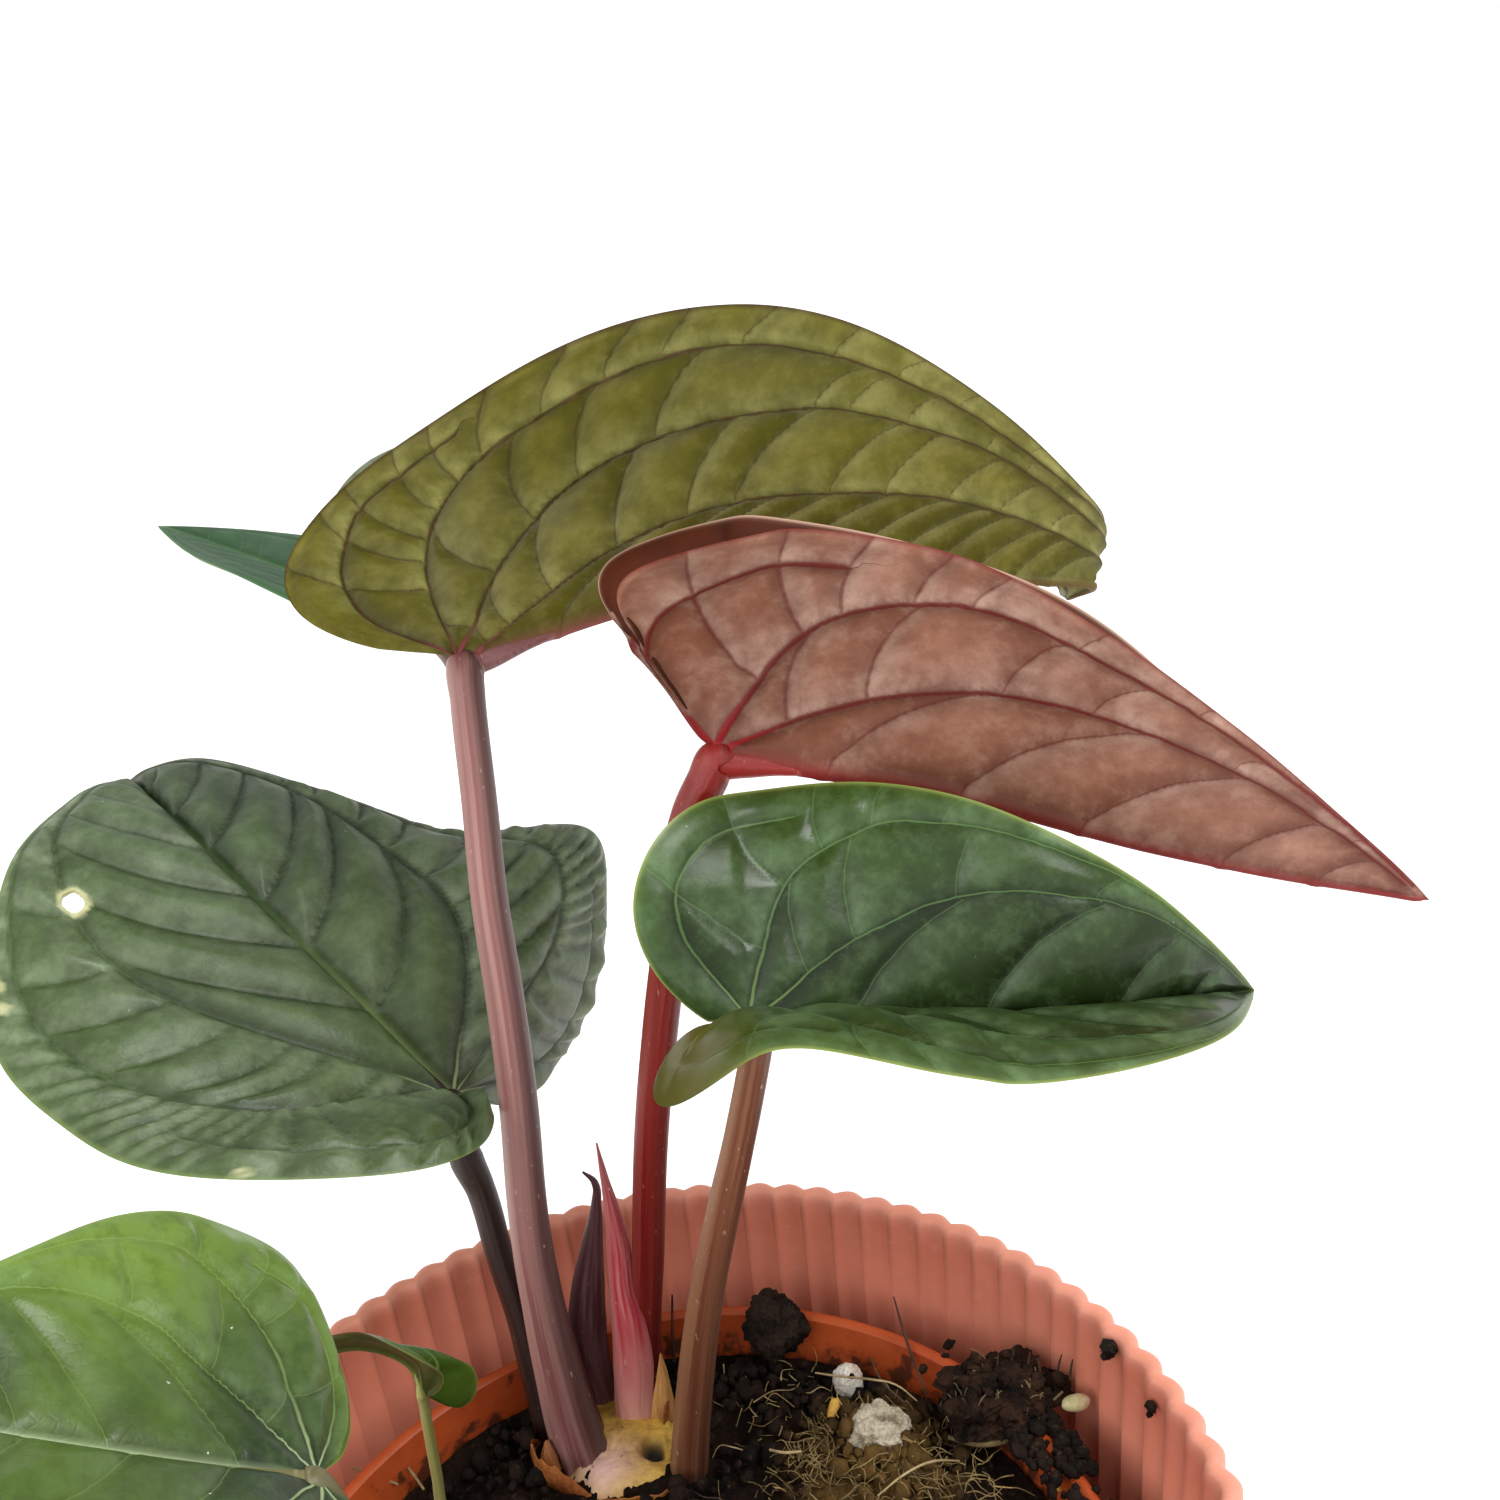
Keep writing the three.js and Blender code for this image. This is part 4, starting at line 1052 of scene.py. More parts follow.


# %% [markdown]
# The tones of each leaf were matched to the photo, first for the upper face and then for the lower
# one. They stand in the group's order: valley, crown by the junction, crown far ahead, patch, vein, midrib
# at its base, midrib ahead, and margin.
# %% Colours of the leaves
LEAF_FINISH = {
    "olive": (
        dict(roughness=0.32, tones="#3c4a22 #56632c #56632c #4a5a2a #5d4a2c #8c4a45 #6b6a35 #4a2c24"),
        dict(roughness=0.5, shine=0.25, width=0.2, veins=0.75, lit="#c4c074", lit_amount=0.55,
             tones="#48460c #888124 #958e30 #757114 #4a2a14 #a8505a #6b5224 #3e1c14")),
    "bronze": (
        dict(roughness=0.65, shine=0.1,
             tones="#3c1c12 #5a2a1a #5a2a1a #4b2a16 #4a1c18 #7c2426 #6a2422 #e0b8a0"),
        dict(roughness=0.45, shine=0.3, width=0.28, veins=0.85, lit="#ecc6b2", lit_amount=0.55,
             tones="#5e2f22 #a36a52 #ba866e #a0664c #641412 #9c1e24 #86181c #7a1c1e")),
    "glossy": (
        dict(roughness=0.27, shine=0.35, bump=0.04, specks=0.25, width=0.1, veins=0.4, ribs=0.3, edge=0.65,
             lit="#7c9a6c", lit_amount=0.48, lobe="#524e06",
             tones="#0f1a04 #37511c #25380c #34500a #6d9450 #a0b868 #41582a #93a352"),
        dict(roughness=0.45, tones="#5f7030 #7d8444 #7d8444 #707a3a #566830 #a06a4a #80843f #a8b468")),
    "dark": (
        dict(roughness=0.4, shine=0.45, specks=0.2, width=0.16, veins=0.25, ribs=0.75, painted_half_light=0.85,
             lit="#8a9a78", lit_amount=0.65,
             tones="#121e08 #667a4e #4e643c #33480e #4f6a3c #b4c888 #5c7844 #6f8244"),
        dict(roughness=0.5, tones="#4c5f34 #667c45 #667c45 #5a703c #4f5f3a #6d5148 #6c7c45 #7a8a4c")),
    "pale": (
        dict(roughness=0.33, shine=0.4, specks=0.9, width=0.1, veins=0.4, ribs=0.75, painted_half_light=-0.95,
             lit="#728f56", lit_amount=0.45,
             tones="#13240a #2a4420 #273e1a #6f8c32 #8ca464 #a8b88c #b4c69a #7a9050"),
        dict(roughness=0.45, tones="#6d8c48 #84a05c #84a05c #789650 #6d8a4c #9a8a5a #8aa05c #98a868")),
    "rear": (
        dict(roughness=0.45, shine=0.25, width=0.12,
             tones="#1c3a20 #345c34 #345c34 #2f5228 #4a7448 #668a56 #56804a #4f7a40"),
        dict(roughness=0.5, tones="#5c7440 #74905a #74905a #688450 #56744a #8a7a5a #7a945c #7c9058")),
    "small": (
        dict(roughness=0.35, width=0.14,
             tones="#2f4a14 #4c691c #4c691c #445e18 #5c7a34 #8a9450 #6c8438 #7c8a44"),
        dict(roughness=0.4, width=0.14,
             tones="#3a3f1a #566030 #566030 #4a5426 #46502a #8a9450 #5a6430 #8a7a4c")),
}
for name, (upper, lower) in LEAF_FINISH.items():
    piece = make_blade(name, leaf_material(f"{name}_upper", **upper), leaf_material(f"{name}_lower", **lower))
    finish(piece, f"leaf_{name}", [f"blade_{name}"], smooth=60)

# %% [markdown]
# A petiole is a round juicy stalk with a swollen knee under the blade, which turns the leaf to the light.
# A curve with a round bevel and a radius at each point is the quick way to such a stalk. It is then made
# a mesh, marked along and across for its finish, and grooved or pressed flat where the real one is.
# %% Stalks from curves
STALK_SAMPLES = 400


def tubes(name, lines, roundness, steps):
    """A mesh of round tubes, each a line of places and a radius at each of them, all in millimetres."""
    deselect()
    bpy.ops.curve.primitive_bezier_curve_add(location=(0, 0, 0))
    curve = bpy.context.object
    curve.name = name
    curve.data.splines.clear()
    for line in lines:
        spline = curve.data.splines.new("BEZIER")
        spline.bezier_points.add(len(line) - 1)
        for point, (x, y, z, radius) in zip(spline.bezier_points, line):
            point.co = Vector((x, y, z)) * MM
            point.handle_left_type = point.handle_right_type = "AUTO"
            point.radius = radius
    curve.data.dimensions = "3D"
    curve.data.bevel_depth = MM
    curve.data.bevel_resolution = roundness
    curve.data.resolution_u = steps
    curve.data.use_fill_caps = True
    bpy.ops.object.convert(target="MESH")
    return bpy.context.object


def stalk(name, route, flat=1.0, grooves=0, groove_depth=0.0, groove_length=0.35, roundness=6):
    """A tube along a route, with grooves that fade out up to a share of its length."""
    piece = tubes(name, [route], roundness, 14)
    edit(piece, bpy.ops.mesh.remove_doubles, threshold=0.000001)
    shares = np.linspace(0, 1, STALK_SAMPLES)
    line = smooth_curve([point[:3] for point in route], shares)
    radii = np.interp(shares, np.linspace(0, 1, len(route)), [point[3] for point in route])
    places = points_of(piece) / MM
    nearest = np.array([np.argmin(((line - spot) ** 2).sum(1)) for spot in places])
    offset = places - line[nearest]
    along = nearest / (STALK_SAMPLES - 1)
    angle = np.arctan2(offset[:, 1], offset[:, 0])
    fade = soften(1 - along / groove_length)
    offset *= (1 - groove_depth * fade * (0.5 + 0.5 * np.cos(grooves * angle)))[:, None]
    offset[:, 1] *= flat
    set_points(piece, (line[nearest] + offset) * MM)
    across = np.clip(offset[:, 0] / np.maximum(radii[nearest], 0.05) * 0.5 + 0.5, 0, 1)
    marks = np.stack([along, across, (angle / math.tau) % 1, np.ones_like(along)], 1)
    write_marks(piece, "stalk_marks", "FLOAT_COLOR", marks)
    return piece


# %% [markdown]
# The stalks' skin is a group too. It runs from the tone at the foot over a middle tone to the tone under
# the blade, with long streaks, painted shade down the right side, a painted highlight along the left edge,
# and a few corky scratches.
# %% Skin of a stalk
STALK_TONES = ("Foot", "Middle", "Top", "Streak", "Speck")
STALK_AMOUNTS = ("Streaks", "Shade")


def build_stalk_skin(tree, given):
    along, across, _ = channels_of(tree, "stalk_marks")
    lanes = add_node(tree, "ShaderNodeCombineXYZ", {0: across * 6, 1: along * 3})[0]
    streaks = add_node(tree, "ShaderNodeTexNoise", {"Vector": lanes, "Scale": 1.0, "Detail": 5})[0]
    streaks = streaks.spread(0.42, 0.62)
    speck = cloud(tree, 1300, 2, (1, 1, 0.4)).spread(0.68, 0.76, 0, 0.6)
    colour = layered(
        tree, given["Foot"],
        (given["Middle"], along.spread(0.02, 0.35)),
        (given["Top"], along.spread(0.6, 0.98)),
        (given["Streak"], streaks * given["Streaks"]),
        # Painted highlight: the streak tone along the left edge.
        (given["Streak"], across.spread(0.22, 0.08, 0, 0.6)))
    # Painted shade: the right side darkened toward near-black.
    shaded = mix(tree, colour, "#1c1012", 0.85)
    colour = layered(
        tree, colour,
        (shaded, across.spread(0.45, 0.82) * given["Shade"]),
        (given["Speck"], speck))
    return colour, streaks + speck * 0.6


stalk_inputs = {**dict.fromkeys(STALK_TONES, COLOUR), **dict.fromkeys(STALK_AMOUNTS, NUMBER)}
stalk_skin = group("stalk_skin", stalk_inputs, {"Color": COLOUR, "Height": NUMBER}, build_stalk_skin)


def stalk_material(name, tones, streaks=0.5, shade=0.6, roughness=0.38, bump=0.2):
    """A stalk's finish. Its tones stand in the group's order, from the foot up."""
    values = dict(zip(STALK_TONES + STALK_AMOUNTS, tones.split() + [streaks, shade]))

    def paint(tree):
        colour, height = use_group(tree, stalk_skin, values)
        return colour, height * 0.15 + roughness, height

    return new_material(name, paint, bump, 0.0004)


PETIOLES = {
    "olive": ("stem_mauve", "#6a3c3e #935e5a #8e4c50 #c09890 #d0b0a4", [
        (-9.8, 41.6, 96, 4.9), (-10.2, 42, 100.5, 4.85), (-11.1, 43.1, 109, 4.5), (-11.7, 44.3, 118, 4),
        (-12.2, 46, 130, 3.4), (-12.1, 48.5, 143, 3.15), (-10.4, 53.4, 163, 3.05), (-9.7, 58.3, 178, 3),
        (-9.4, 64, 193, 2.9), (-8.4, 70.4, 207, 2.8), (-7.5, 77.3, 221.7, 2.8), (-6.9, 79.7, 226.6, 3.1)]),
    "bronze": ("stem_red", "#5e1412 #82140f #aa2e2c #9a3c34 #c08a80", [
        (2.2, 51.5, 98, 2.9), (2.4, 51, 104, 2.8), (2.8, 50, 114, 2.75), (5.6, 47.8, 133.9, 2.7),
        (8.7, 45.5, 155.8, 2.7), (11.8, 43.9, 172.3, 2.7), (15, 42.5, 187, 2.7), (20.6, 40.2, 209.5, 2.8),
        (23.8, 39.5, 215.3, 2.9), (25.6, 39.2, 218, 2.9)]),
    "glossy": ("stem_brown", "#55301f #7a4530 #a04436 #a07252 #c9b090", [
        (4.6, 35.2, 94, 3.2), (5.5, 34.1, 99.3, 3.2), (8.2, 30.5, 118.5, 2.9), (12, 26.5, 140.1, 2.6),
        (16.6, 22.9, 159.3, 2.4), (19.3, 20.9, 169.9, 2.2), (22.4, 18.4, 183.3, 2.1),
        (23.3, 17.8, 187.4, 2.1)]),
    "dark": ("stem_grey", "#1c0e0a #28130d #2a150f #4a2c20 #8a7a70", [
        (-14.5, 46, 95, 2.4), (-15.3, 47.5, 99.9, 2.4), (-16, 50.1, 107.3, 2.3), (-16.5, 52.5, 113.8, 2.3),
        (-16.9, 54.8, 120.3, 2.3), (-18.5, 58.7, 131, 2.3), (-19.7, 62.5, 141.7, 2.4),
        (-21.1, 64.3, 146.7, 2.8), (-22, 66.6, 151.5, 2.3), (-22.2, 68.8, 155.4, 2.3)]),
    "pale": ("stem_green", "#5f4a34 #74704a #88904f #9a9060 #b0a880", [
        (-7.5, 31.5, 96, 2.5), (-8.5, 29, 101, 2.4), (-18, 10, 106, 2.3), (-27, -1.5, 121, 2.2),
        (-33, -6.5, 139, 2.1), (-37.6, -7.4, 157.6, 2.1)]),
    "rear": ("stem_grey", "#4a3436 #6d5148 #6a5a48 #8a7064 #9a8a78", [
        (-11, 52, 96, 1.9), (-11.3, 51, 103, 1.8), (-12, 50.3, 113, 1.7), (-12.3, 50.5, 123, 1.6),
        (-12.5, 52.4, 137.4, 1.5), (-10.7, 58, 160, 1.5), (-10, 63, 175.4, 1.5), (-9.6, 68.9, 190.5, 1.5),
        (-8.6, 75.4, 205.4, 1.5), (-8.2, 81, 216.5, 1.5), (-8.3, 85, 221.3, 1.5), (-9.6, 90, 226, 1.5),
        (-13.4, 95.5, 229, 1.5), (-19.2, 102.2, 231, 1.6)]),
    "small": ("stem_green", "#b8a86a #a7a85c #9aa850 #c4c088 #d0c8a0", [
        (-31, 37.5, 93, 0.9), (-31.5, 37, 99, 0.9), (-32.6, 35.8, 104, 0.9), (-32, 34, 113.5, 0.85),
        (-31, 31, 126.5, 0.8), (-30.4, 29, 132.9, 0.8)]),
}
GROOVES = {"olive": (7, 0.2), "bronze": (5, 0.08)}


def with_knee(name, route):
    """The route carried on through the knee and along under the midrib, where the stalk thins out."""
    spots, _, _, rise = Blade(LEAVES[name]).frame_at(np.array([0.0, 0.03, 0.08, 0.16]))
    radius = route[-1][3]
    knee = [(*(spot - lift * radius * share * 0.6), radius * share)
            for spot, lift, share in zip(spots, rise, (0.85, 0.7, 0.45, 0.2))]
    return route + knee


for name, (slot, tones, route) in PETIOLES.items():
    grooves, groove_depth = GROOVES.get(name, (6, 0.05))
    piece = stalk(f"stalk_{name}", with_knee(name, route), grooves=grooves, groove_depth=groove_depth,
                  roundness=12 if name == "olive" else 7)
    node = "stem_small" if name == "small" else f"petiole_{name}"
    material = stalk_material(f"{name}_stalk", tones, shade=0.85 if name == "olive" else 0.5)
    finish(piece, f"stalk_{name}", [node], material, smooth=50)

# %% [markdown]
# Round the foot of the petioles stand the sheaths that wrapped each leaf before it opened: a fresh pink
# one, the dark roll of the next leaf, and the dried scraps of old ones. They are flattened stalks that
# run out to a point.
# %% Sheaths and the new leaf
SHEATHS = {
    "new_leaf_spear": ("spear", "#6a3a40 #5a3036 #4a2a30 #7d5c5e #9a7a74", 0.8, [
        (-5.2, 52, 99, 2), (-5.9, 52.5, 106.1, 2.6), (-6.5, 53, 112.3, 3.2), (-6.2, 53.5, 118.3, 3.4),
        (-5, 54, 124.8, 2.9), (-3.2, 54.5, 132, 1.9), (-1.4, 55, 139.2, 0.9), (-1, 55.5, 143.2, 0.6),
        (-2.6, 56, 145.4, 0.2)]),
    "pink_sheath": ("sheath_fresh", "#f0c0b0 #c23646 #a85c5c #e08c88 #f0d4c6", 0.6, [
        (-1.2, 45.6, 101, 3.2), (-0.6, 45.8, 107, 3.4), (0.2, 46.3, 113, 3.5), (0.6, 47.2, 121.7, 2.9),
        (0.5, 48, 127.2, 2.1), (1, 48.8, 134.5, 2), (1, 49.5, 141.8, 1.3), (0.7, 50.2, 147.1, 0.7),
        (0.4, 51, 153.7, 0.15)]),
    "tan_sheath": ("sheath_dry", "#a8743c #c28a4a #b0763c #e0b070 #7a4a24", 0.6, [
        (3.2, 44.6, 101, 2.4), (3.9, 45, 106, 1.9), (4.5, 45.6, 110.5, 1), (4.8, 46, 114.5, 0.15)]),
    "dried_sheath": ("sheath_dry", "#7a3c1c #a85a28 #9a5526 #c88a50 #4a2818", 0.7, [
        (-14.8, 38.4, 97.5, 2.1), (-15.4, 39.5, 101, 1.9), (-15.7, 40.6, 104.5, 1.5),
        (-15.5, 41.6, 107, 0.4)]),
}
for name, (slot, tones, flat, route) in SHEATHS.items():
    piece = stalk(name, route, flat=flat, grooves=9, groove_depth=0.1, groove_length=1.2)
    material = stalk_material(f"{name}_skin", tones, streaks=0.75, shade=0.3, roughness=0.45, bump=0.4)
    finish(piece, f"{name}_body", [name], material, smooth=50)

# %% [markdown]
# Peat fills the nursery pot to just under its lip. A fine grid, pressed into a disc, is the surface: it
# follows the broad waves of the frame and is broken up by noise into crumbs and pits. Its edge is then
# extruded down to the pot's floor and closed, so that the peat is one body.
# %% Peat
PEAT = dict(bottom=4.8, foot=42.5, edge=58.5, middle_height=103, edge_height=101.5, unevenness=1.1)
PEAT_GRID = 200


def peat_height(x, y):
    radius = np.hypot(x, y)
    wave = np.sin(x * 0.19 + 1.3) * np.cos(y * 0.23 - 0.4) + 0.6 * np.sin(x * 0.43 - y * 0.37)
    sink = (PEAT["edge_height"] - PEAT["middle_height"]) * (radius / PEAT["edge"]) ** 2
    return PEAT["middle_height"] + sink + PEAT["unevenness"] * wave * np.minimum(1, (60.2 - radius) / 12)


def crumble(x, y):
    """Crumbs and pits of the peat, in millimetres."""
    spot = Vector((x, y, 0))
    clods = noise.voronoi(spot / 5)[0][0]
    bits = noise.voronoi(spot / 1.9 + Vector((9, 4, 0)))[0][0]
    waves = 1.2 * noise.noise(spot * 0.12) + 0.5 * noise.noise(spot * 1.3)
    return 2.2 * (0.42 - clods) + 1.1 * (0.4 - bits) + waves


deselect()
bpy.ops.mesh.primitive_grid_add(x_subdivisions=PEAT_GRID, y_subdivisions=PEAT_GRID, size=2)
peat = bpy.context.object
u, v = points_of(peat)[:, 0], points_of(peat)[:, 1]
wide = np.abs(u) > np.abs(v)
safe_u, safe_v = np.where(u == 0, 1e-9, u), np.where(v == 0, 1e-9, v)
angle = np.where(wide, math.pi / 4 * v / safe_u, math.pi / 2 - math.pi / 4 * u / safe_v)
reach = np.where(wide, u, v) * PEAT["edge"]
x, y = reach * np.cos(angle), reach * np.sin(angle)
broken = np.array([crumble(*spot) for spot in zip(x, y)])
fade = np.clip((PEAT["edge"] - np.hypot(x, y)) / 3, 0.25, 1)
set_points(peat, np.stack([x, y, peat_height(x, y) + broken * fade], 1) * MM)
activate(peat)
bpy.ops.object.mode_set(mode="EDIT")
bpy.ops.mesh.select_mode(type="EDGE")
bpy.ops.mesh.select_all(action="DESELECT")
bpy.ops.mesh.select_non_manifold()
bpy.ops.mesh.extrude_edges_move(TRANSFORM_OT_translate={"value": (0, 0, -0.05)})
ratio = PEAT["foot"] / PEAT["edge"]
bpy.ops.transform.resize(value=(ratio, ratio, 0), center_override=(0, 0, PEAT["bottom"] * MM))
bpy.ops.mesh.edge_face_add()
bpy.ops.mesh.select_mode(type="VERT")
bpy.ops.mesh.select_all(action="SELECT")
bpy.ops.mesh.normals_make_consistent(inside=False)
bpy.ops.object.mode_set(mode="OBJECT")
print("peat from", points_of(peat)[:, 2].min().round(4), "to", points_of(peat)[:, 2].max().round(4))

# %% [markdown]
# Loose crumbs lie on the peat. Five rough balls are enough: each is an icosphere dented by noise, and is
# copied to many places with its own turn and size. They are thickest round the stones, on the right.
# %% Crumbs
def rough_ball(name, half, roughness, seed, subdivisions=2):
    """An icosphere in millimetres round the origin, dented by noise and stretched to its half sizes."""
    deselect()
    bpy.ops.mesh.primitive_ico_sphere_add(subdivisions=subdivisions, radius=1)
    ball = bpy.context.object
    ball.name = name
    corners = points_of(ball)
    shift = Vector((seed * 3.7, seed * 1.3, seed * 5.1))
    size = [1 + roughness * noise.fractal(Vector(corner) * 1.6 + shift, 0.7, 2.1, 4) for corner in corners]
    set_points(ball, corners * np.array(size)[:, None] * np.array(half) * MM)
    return ball


def copies(models, places):
    """Copies of the models, each with its own mesh, at a place in millimetres, with a turn and a size."""
    made = []
    for number, (place, angles, size) in enumerate(places):
        model = models[number % len(models)]
        copy = model.copy()
        copy.data = model.data.copy()
        copy.location = Vector(place) * MM
        copy.rotation_euler = angles
        copy.scale = (size, size, size)
        bpy.context.collection.objects.link(copy)
        made.append(copy)
    for model in models:
        bpy.data.objects.remove(model)
    whole = join(made)
    settle(whole)
    return whole


chance = random.Random(11)
PEAT_REACH = 56
STALK_FEET = [(-11, 42, 7), (2.5, 50, 5), (6, 34, 5), (-15, 47, 4), (-8, 31, 4), (-4, 41, 14), (-31, 37, 2)]


def any_turn():
    return [chance.uniform(0, math.tau) for _ in range(3)]


def scatter(count, centre, spread_by, lift, sizes):
    """Random places round a centre, on the peat and away from the stalks, in millimetres."""
    places = []
    while len(places) < count:
        x = chance.gauss(centre[0], spread_by)
        y = chance.gauss(centre[1], spread_by)
        if math.hypot(x, y) > PEAT_REACH or any(math.hypot(x - a, y - b) < c for a, b, c in STALK_FEET):
            continue
        height = float(peat_height(np.float64(x), np.float64(y))) + lift * chance.uniform(0.2, 1)
        places.append(((x, y, height), any_turn(), chance.uniform(*sizes)))
    return places


crumb_models = [rough_ball(f"crumb_{n}", (1.1, 0.9, 0.75), 0.5, n + 1, subdivisions=2 if n < 2 else 1)
                for n in range(5)]
crumb_places = scatter(260, (10, 15), 34, 1.3, (0.4, 1.4)) + scatter(90, (30, 46), 12, 1.5, (0.5, 1.6))
crumb_places += scatter(60, (-34, 40), 12, 1.2, (0.4, 1.2)) + scatter(110, (-4, 40), 11, 2.2, (0.6, 1.9))
crumb_places += scatter(90, (44, 34), 9, 2.0, (0.6, 1.9))
for _ in range(170):
    turn_by, reach_by = math.radians(chance.gauss(17, 7)), chance.uniform(56.5, 65)
    place = (math.cos(turn_by) * reach_by, math.sin(turn_by) * reach_by, chance.uniform(108.4, 109.8))
    crumb_places.append((place, any_turn(), chance.uniform(0.5, 1.5)))
WALL_SPECKS = [((70, 15.7, 123.2), 1.5), ((69.6, 15.9, 121.6), 0.8), ((71.4, 5.4, 121.5), 1.0),
               ((71.2, 5.6, 119.8), 0.6)]
BEAD_SPOT = [((35.2, 39.6, 106.2), 0.55)]
crumb_places += [(place, (0.4, 0.2, 0.9), size) for place, size in WALL_SPECKS + BEAD_SPOT]
crumbs = copies(crumb_models, crumb_places)
chips = copies([rough_ball("chip", (1.7, 0.9, 0.5), 0.3, 4)],
               [((30.6, 34.6, 105.8), (0.5, -0.4, 0.8), 1), ((59, 10.4, 105), (0.2, 0.5, 0.4), 0.8)])
print("crumbs", len(crumbs.data.polygons))

# %% [markdown]
# Fine roots and moss fibres run through the peat. Each is a short bent thread. They are made like the
# stalks, from curves with a round bevel, but many to a curve and with few faces, since they are so thin.
# %% Fibres
def threads(name, lines):
    return tubes(name, lines, 1, 4)


def wisps(count, centre, spread_by, length, lift, radius):
    """Bent threads lying on the peat round a centre."""
    lines = []
    for (x, y, z), angles, size in scatter(count, centre, spread_by, lift, (0.6, 1.4)):
        heading = angles[0]
        line = []
        for step in range(4):
            rise = lift * 0.5 * math.sin(step * 1.3 + angles[1])
            line.append((x, y, z + rise, radius * (1 - 0.2 * step)))
            heading += 0.9 * math.sin(angles[2] + step * 2)
            x += math.cos(heading) * length * size / 3
            y += math.sin(heading) * length * size / 3
        lines.append(line)
    return lines


PALE_ROOTS = [
    [(32.7, 17.5, 104.6, 0.14), (38, 19.2, 105.6, 0.2), (42.5, 19.6, 106, 0.22), (46.4, 18.8, 105.6, 0.14)],
    [(29.6, 42.4, 106, 0.14), (33, 39.2, 107.2, 0.2), (38, 37, 107, 0.2), (41.5, 35.6, 106.2, 0.16),
     (44, 32, 105.4, 0.12)],
    [(18.9, 30.9, 104.5, 0.22), (21, 29, 105.2, 0.24), (23.6, 28.6, 105, 0.18)],
    [(-47.2, 47.6, 105.4, 0.2), (-44, 45.4, 106, 0.25), (-40, 46.4, 104.8, 0.28), (-36.8, 49.3, 104.6, 0.22)],
    [(-43, 43.2, 104.2, 0.2), (-41.5, 43.8, 104.6, 0.25), (-39.9, 43.2, 104.2, 0.2)],
    [(-38.7, 46.8, 104, 0.2), (-37.4, 44, 104.5, 0.25), (-35.8, 41, 104.1, 0.2)]]
DARK_ROOTS = [
    [(7.2, 57, 102, 0.32), (7.6, 57.3, 107, 0.28), (8.2, 57.2, 112, 0.24), (8.7, 57.1, 116, 0.16)],
    [(44.6, 43.6, 116.5, 0.14), (45.2, 40.5, 110.6, 0.26), (45.6, 38, 107.6, 0.22), (46.3, 33.6, 104, 0.16)],
    [(38.9, 40.6, 108, 0.14), (39.6, 37, 106.2, 0.22), (42, 32.8, 105, 0.2)]]
moss = threads("moss", wisps(170, (34, 24), 8, 4.5, 2.6, 0.11) + wisps(70, (24, 28), 5, 4, 2.6, 0.1)
               + wisps(60, (44, 20), 6, 5, 2.4, 0.12))
roots = threads("roots", wisps(36, (0, 20), 30, 8, 1.8, 0.14) + wisps(16, (24, 44), 8, 6, 1.8, 0.13)
                + PALE_ROOTS)
dark_roots = threads("dark_roots", DARK_ROOTS + wisps(40, (10, 10), 34, 9, 1.6, 0.16))
print("fibre faces", [len(piece.data.polygons) for piece in (moss, roots, dark_roots)])

# %% [markdown]
# The peat is nearly black, with brown bits. Round the stones it is overgrown by old straw-coloured moss:
# the distance from the middle of that patch, made uneven by noise, is the mask.
# %% Colours of the peat
MOSS_MIDDLE = (0.034, 0.024, 0.104)


def peat_colour(tree):
    away = add_node(tree, "ShaderNodeVectorMath", {0: object_places(tree), 1: MOSS_MIDDLE},
                    operation="DISTANCE")[1]
    patch = (away + cloud(tree, 130) * 0.02).spread(0.016, 0.026, 0.75, 0)
    return layered(
        tree, mottled(tree, "#080504", "#24170f", 150),
        ("#4c3526", cloud(tree, 750, 3).spread(0.62, 0.7, 0, 0.6)),
        (mix(tree, "#3a2614", "#8a6a34", cloud(tree, 600)), patch))


peat_material = new_material("peat", lambda tree: (peat_colour(tree), 0.95, cloud(tree, 900, 5)),
                             bump=0.9, depth=0.001, shine=0.15)
crumb_material = new_material("peat_crumb", lambda tree: (peat_colour(tree), 0.85, cloud(tree, 1200)),
                              bump=0.7, depth=0.0006, shine=0.2)
moss_material = new_material("moss_fibre", two_tones(("#4c3a1e", "#b09660", 160), 0.8))
root_material = new_material("pale_root", two_tones(("#86704a", "#c4ae82", 120), 0.6))
dark_root_material = new_material("dark_root", two_tones(("#2b1c15", "#5c3f2c", 200), 0.7))
chip_material = new_material("yellow_chip", two_tones(("#a8761c", "#dcb04a", 300), 0.6))
ground = {peat: peat_material, crumbs: crumb_material, chips: chip_material, moss: moss_material,
          roots: root_material, dark_roots: dark_root_material}
for piece, material in ground.items():
    piece.data.materials.append(material)
finish(join(list(ground)), "peat_with_roots", ["soil"], smooth=65)

# %% [markdown]
# The rhizome is the creeping stem that all petioles rise from. It is a corky yellow-tan block with the
# rings of old leaf scars, pale pink where it is young, with a hole on top that is painted nearly black as
# shade. A sphere is turned into it by numbers: rings, a flatter top and a pit.
# %% Rhizome
RHIZOME = dict(centre=(-4, 41.5, 96.5), reach=(13, 15, 8), ring=5)
PIT = dict(x=0.8, y=38, reach=1.7, depth=2.4)
YOUNG = dict(x=-7.5, y=36.5, reach_x=5, reach_y=4.5)

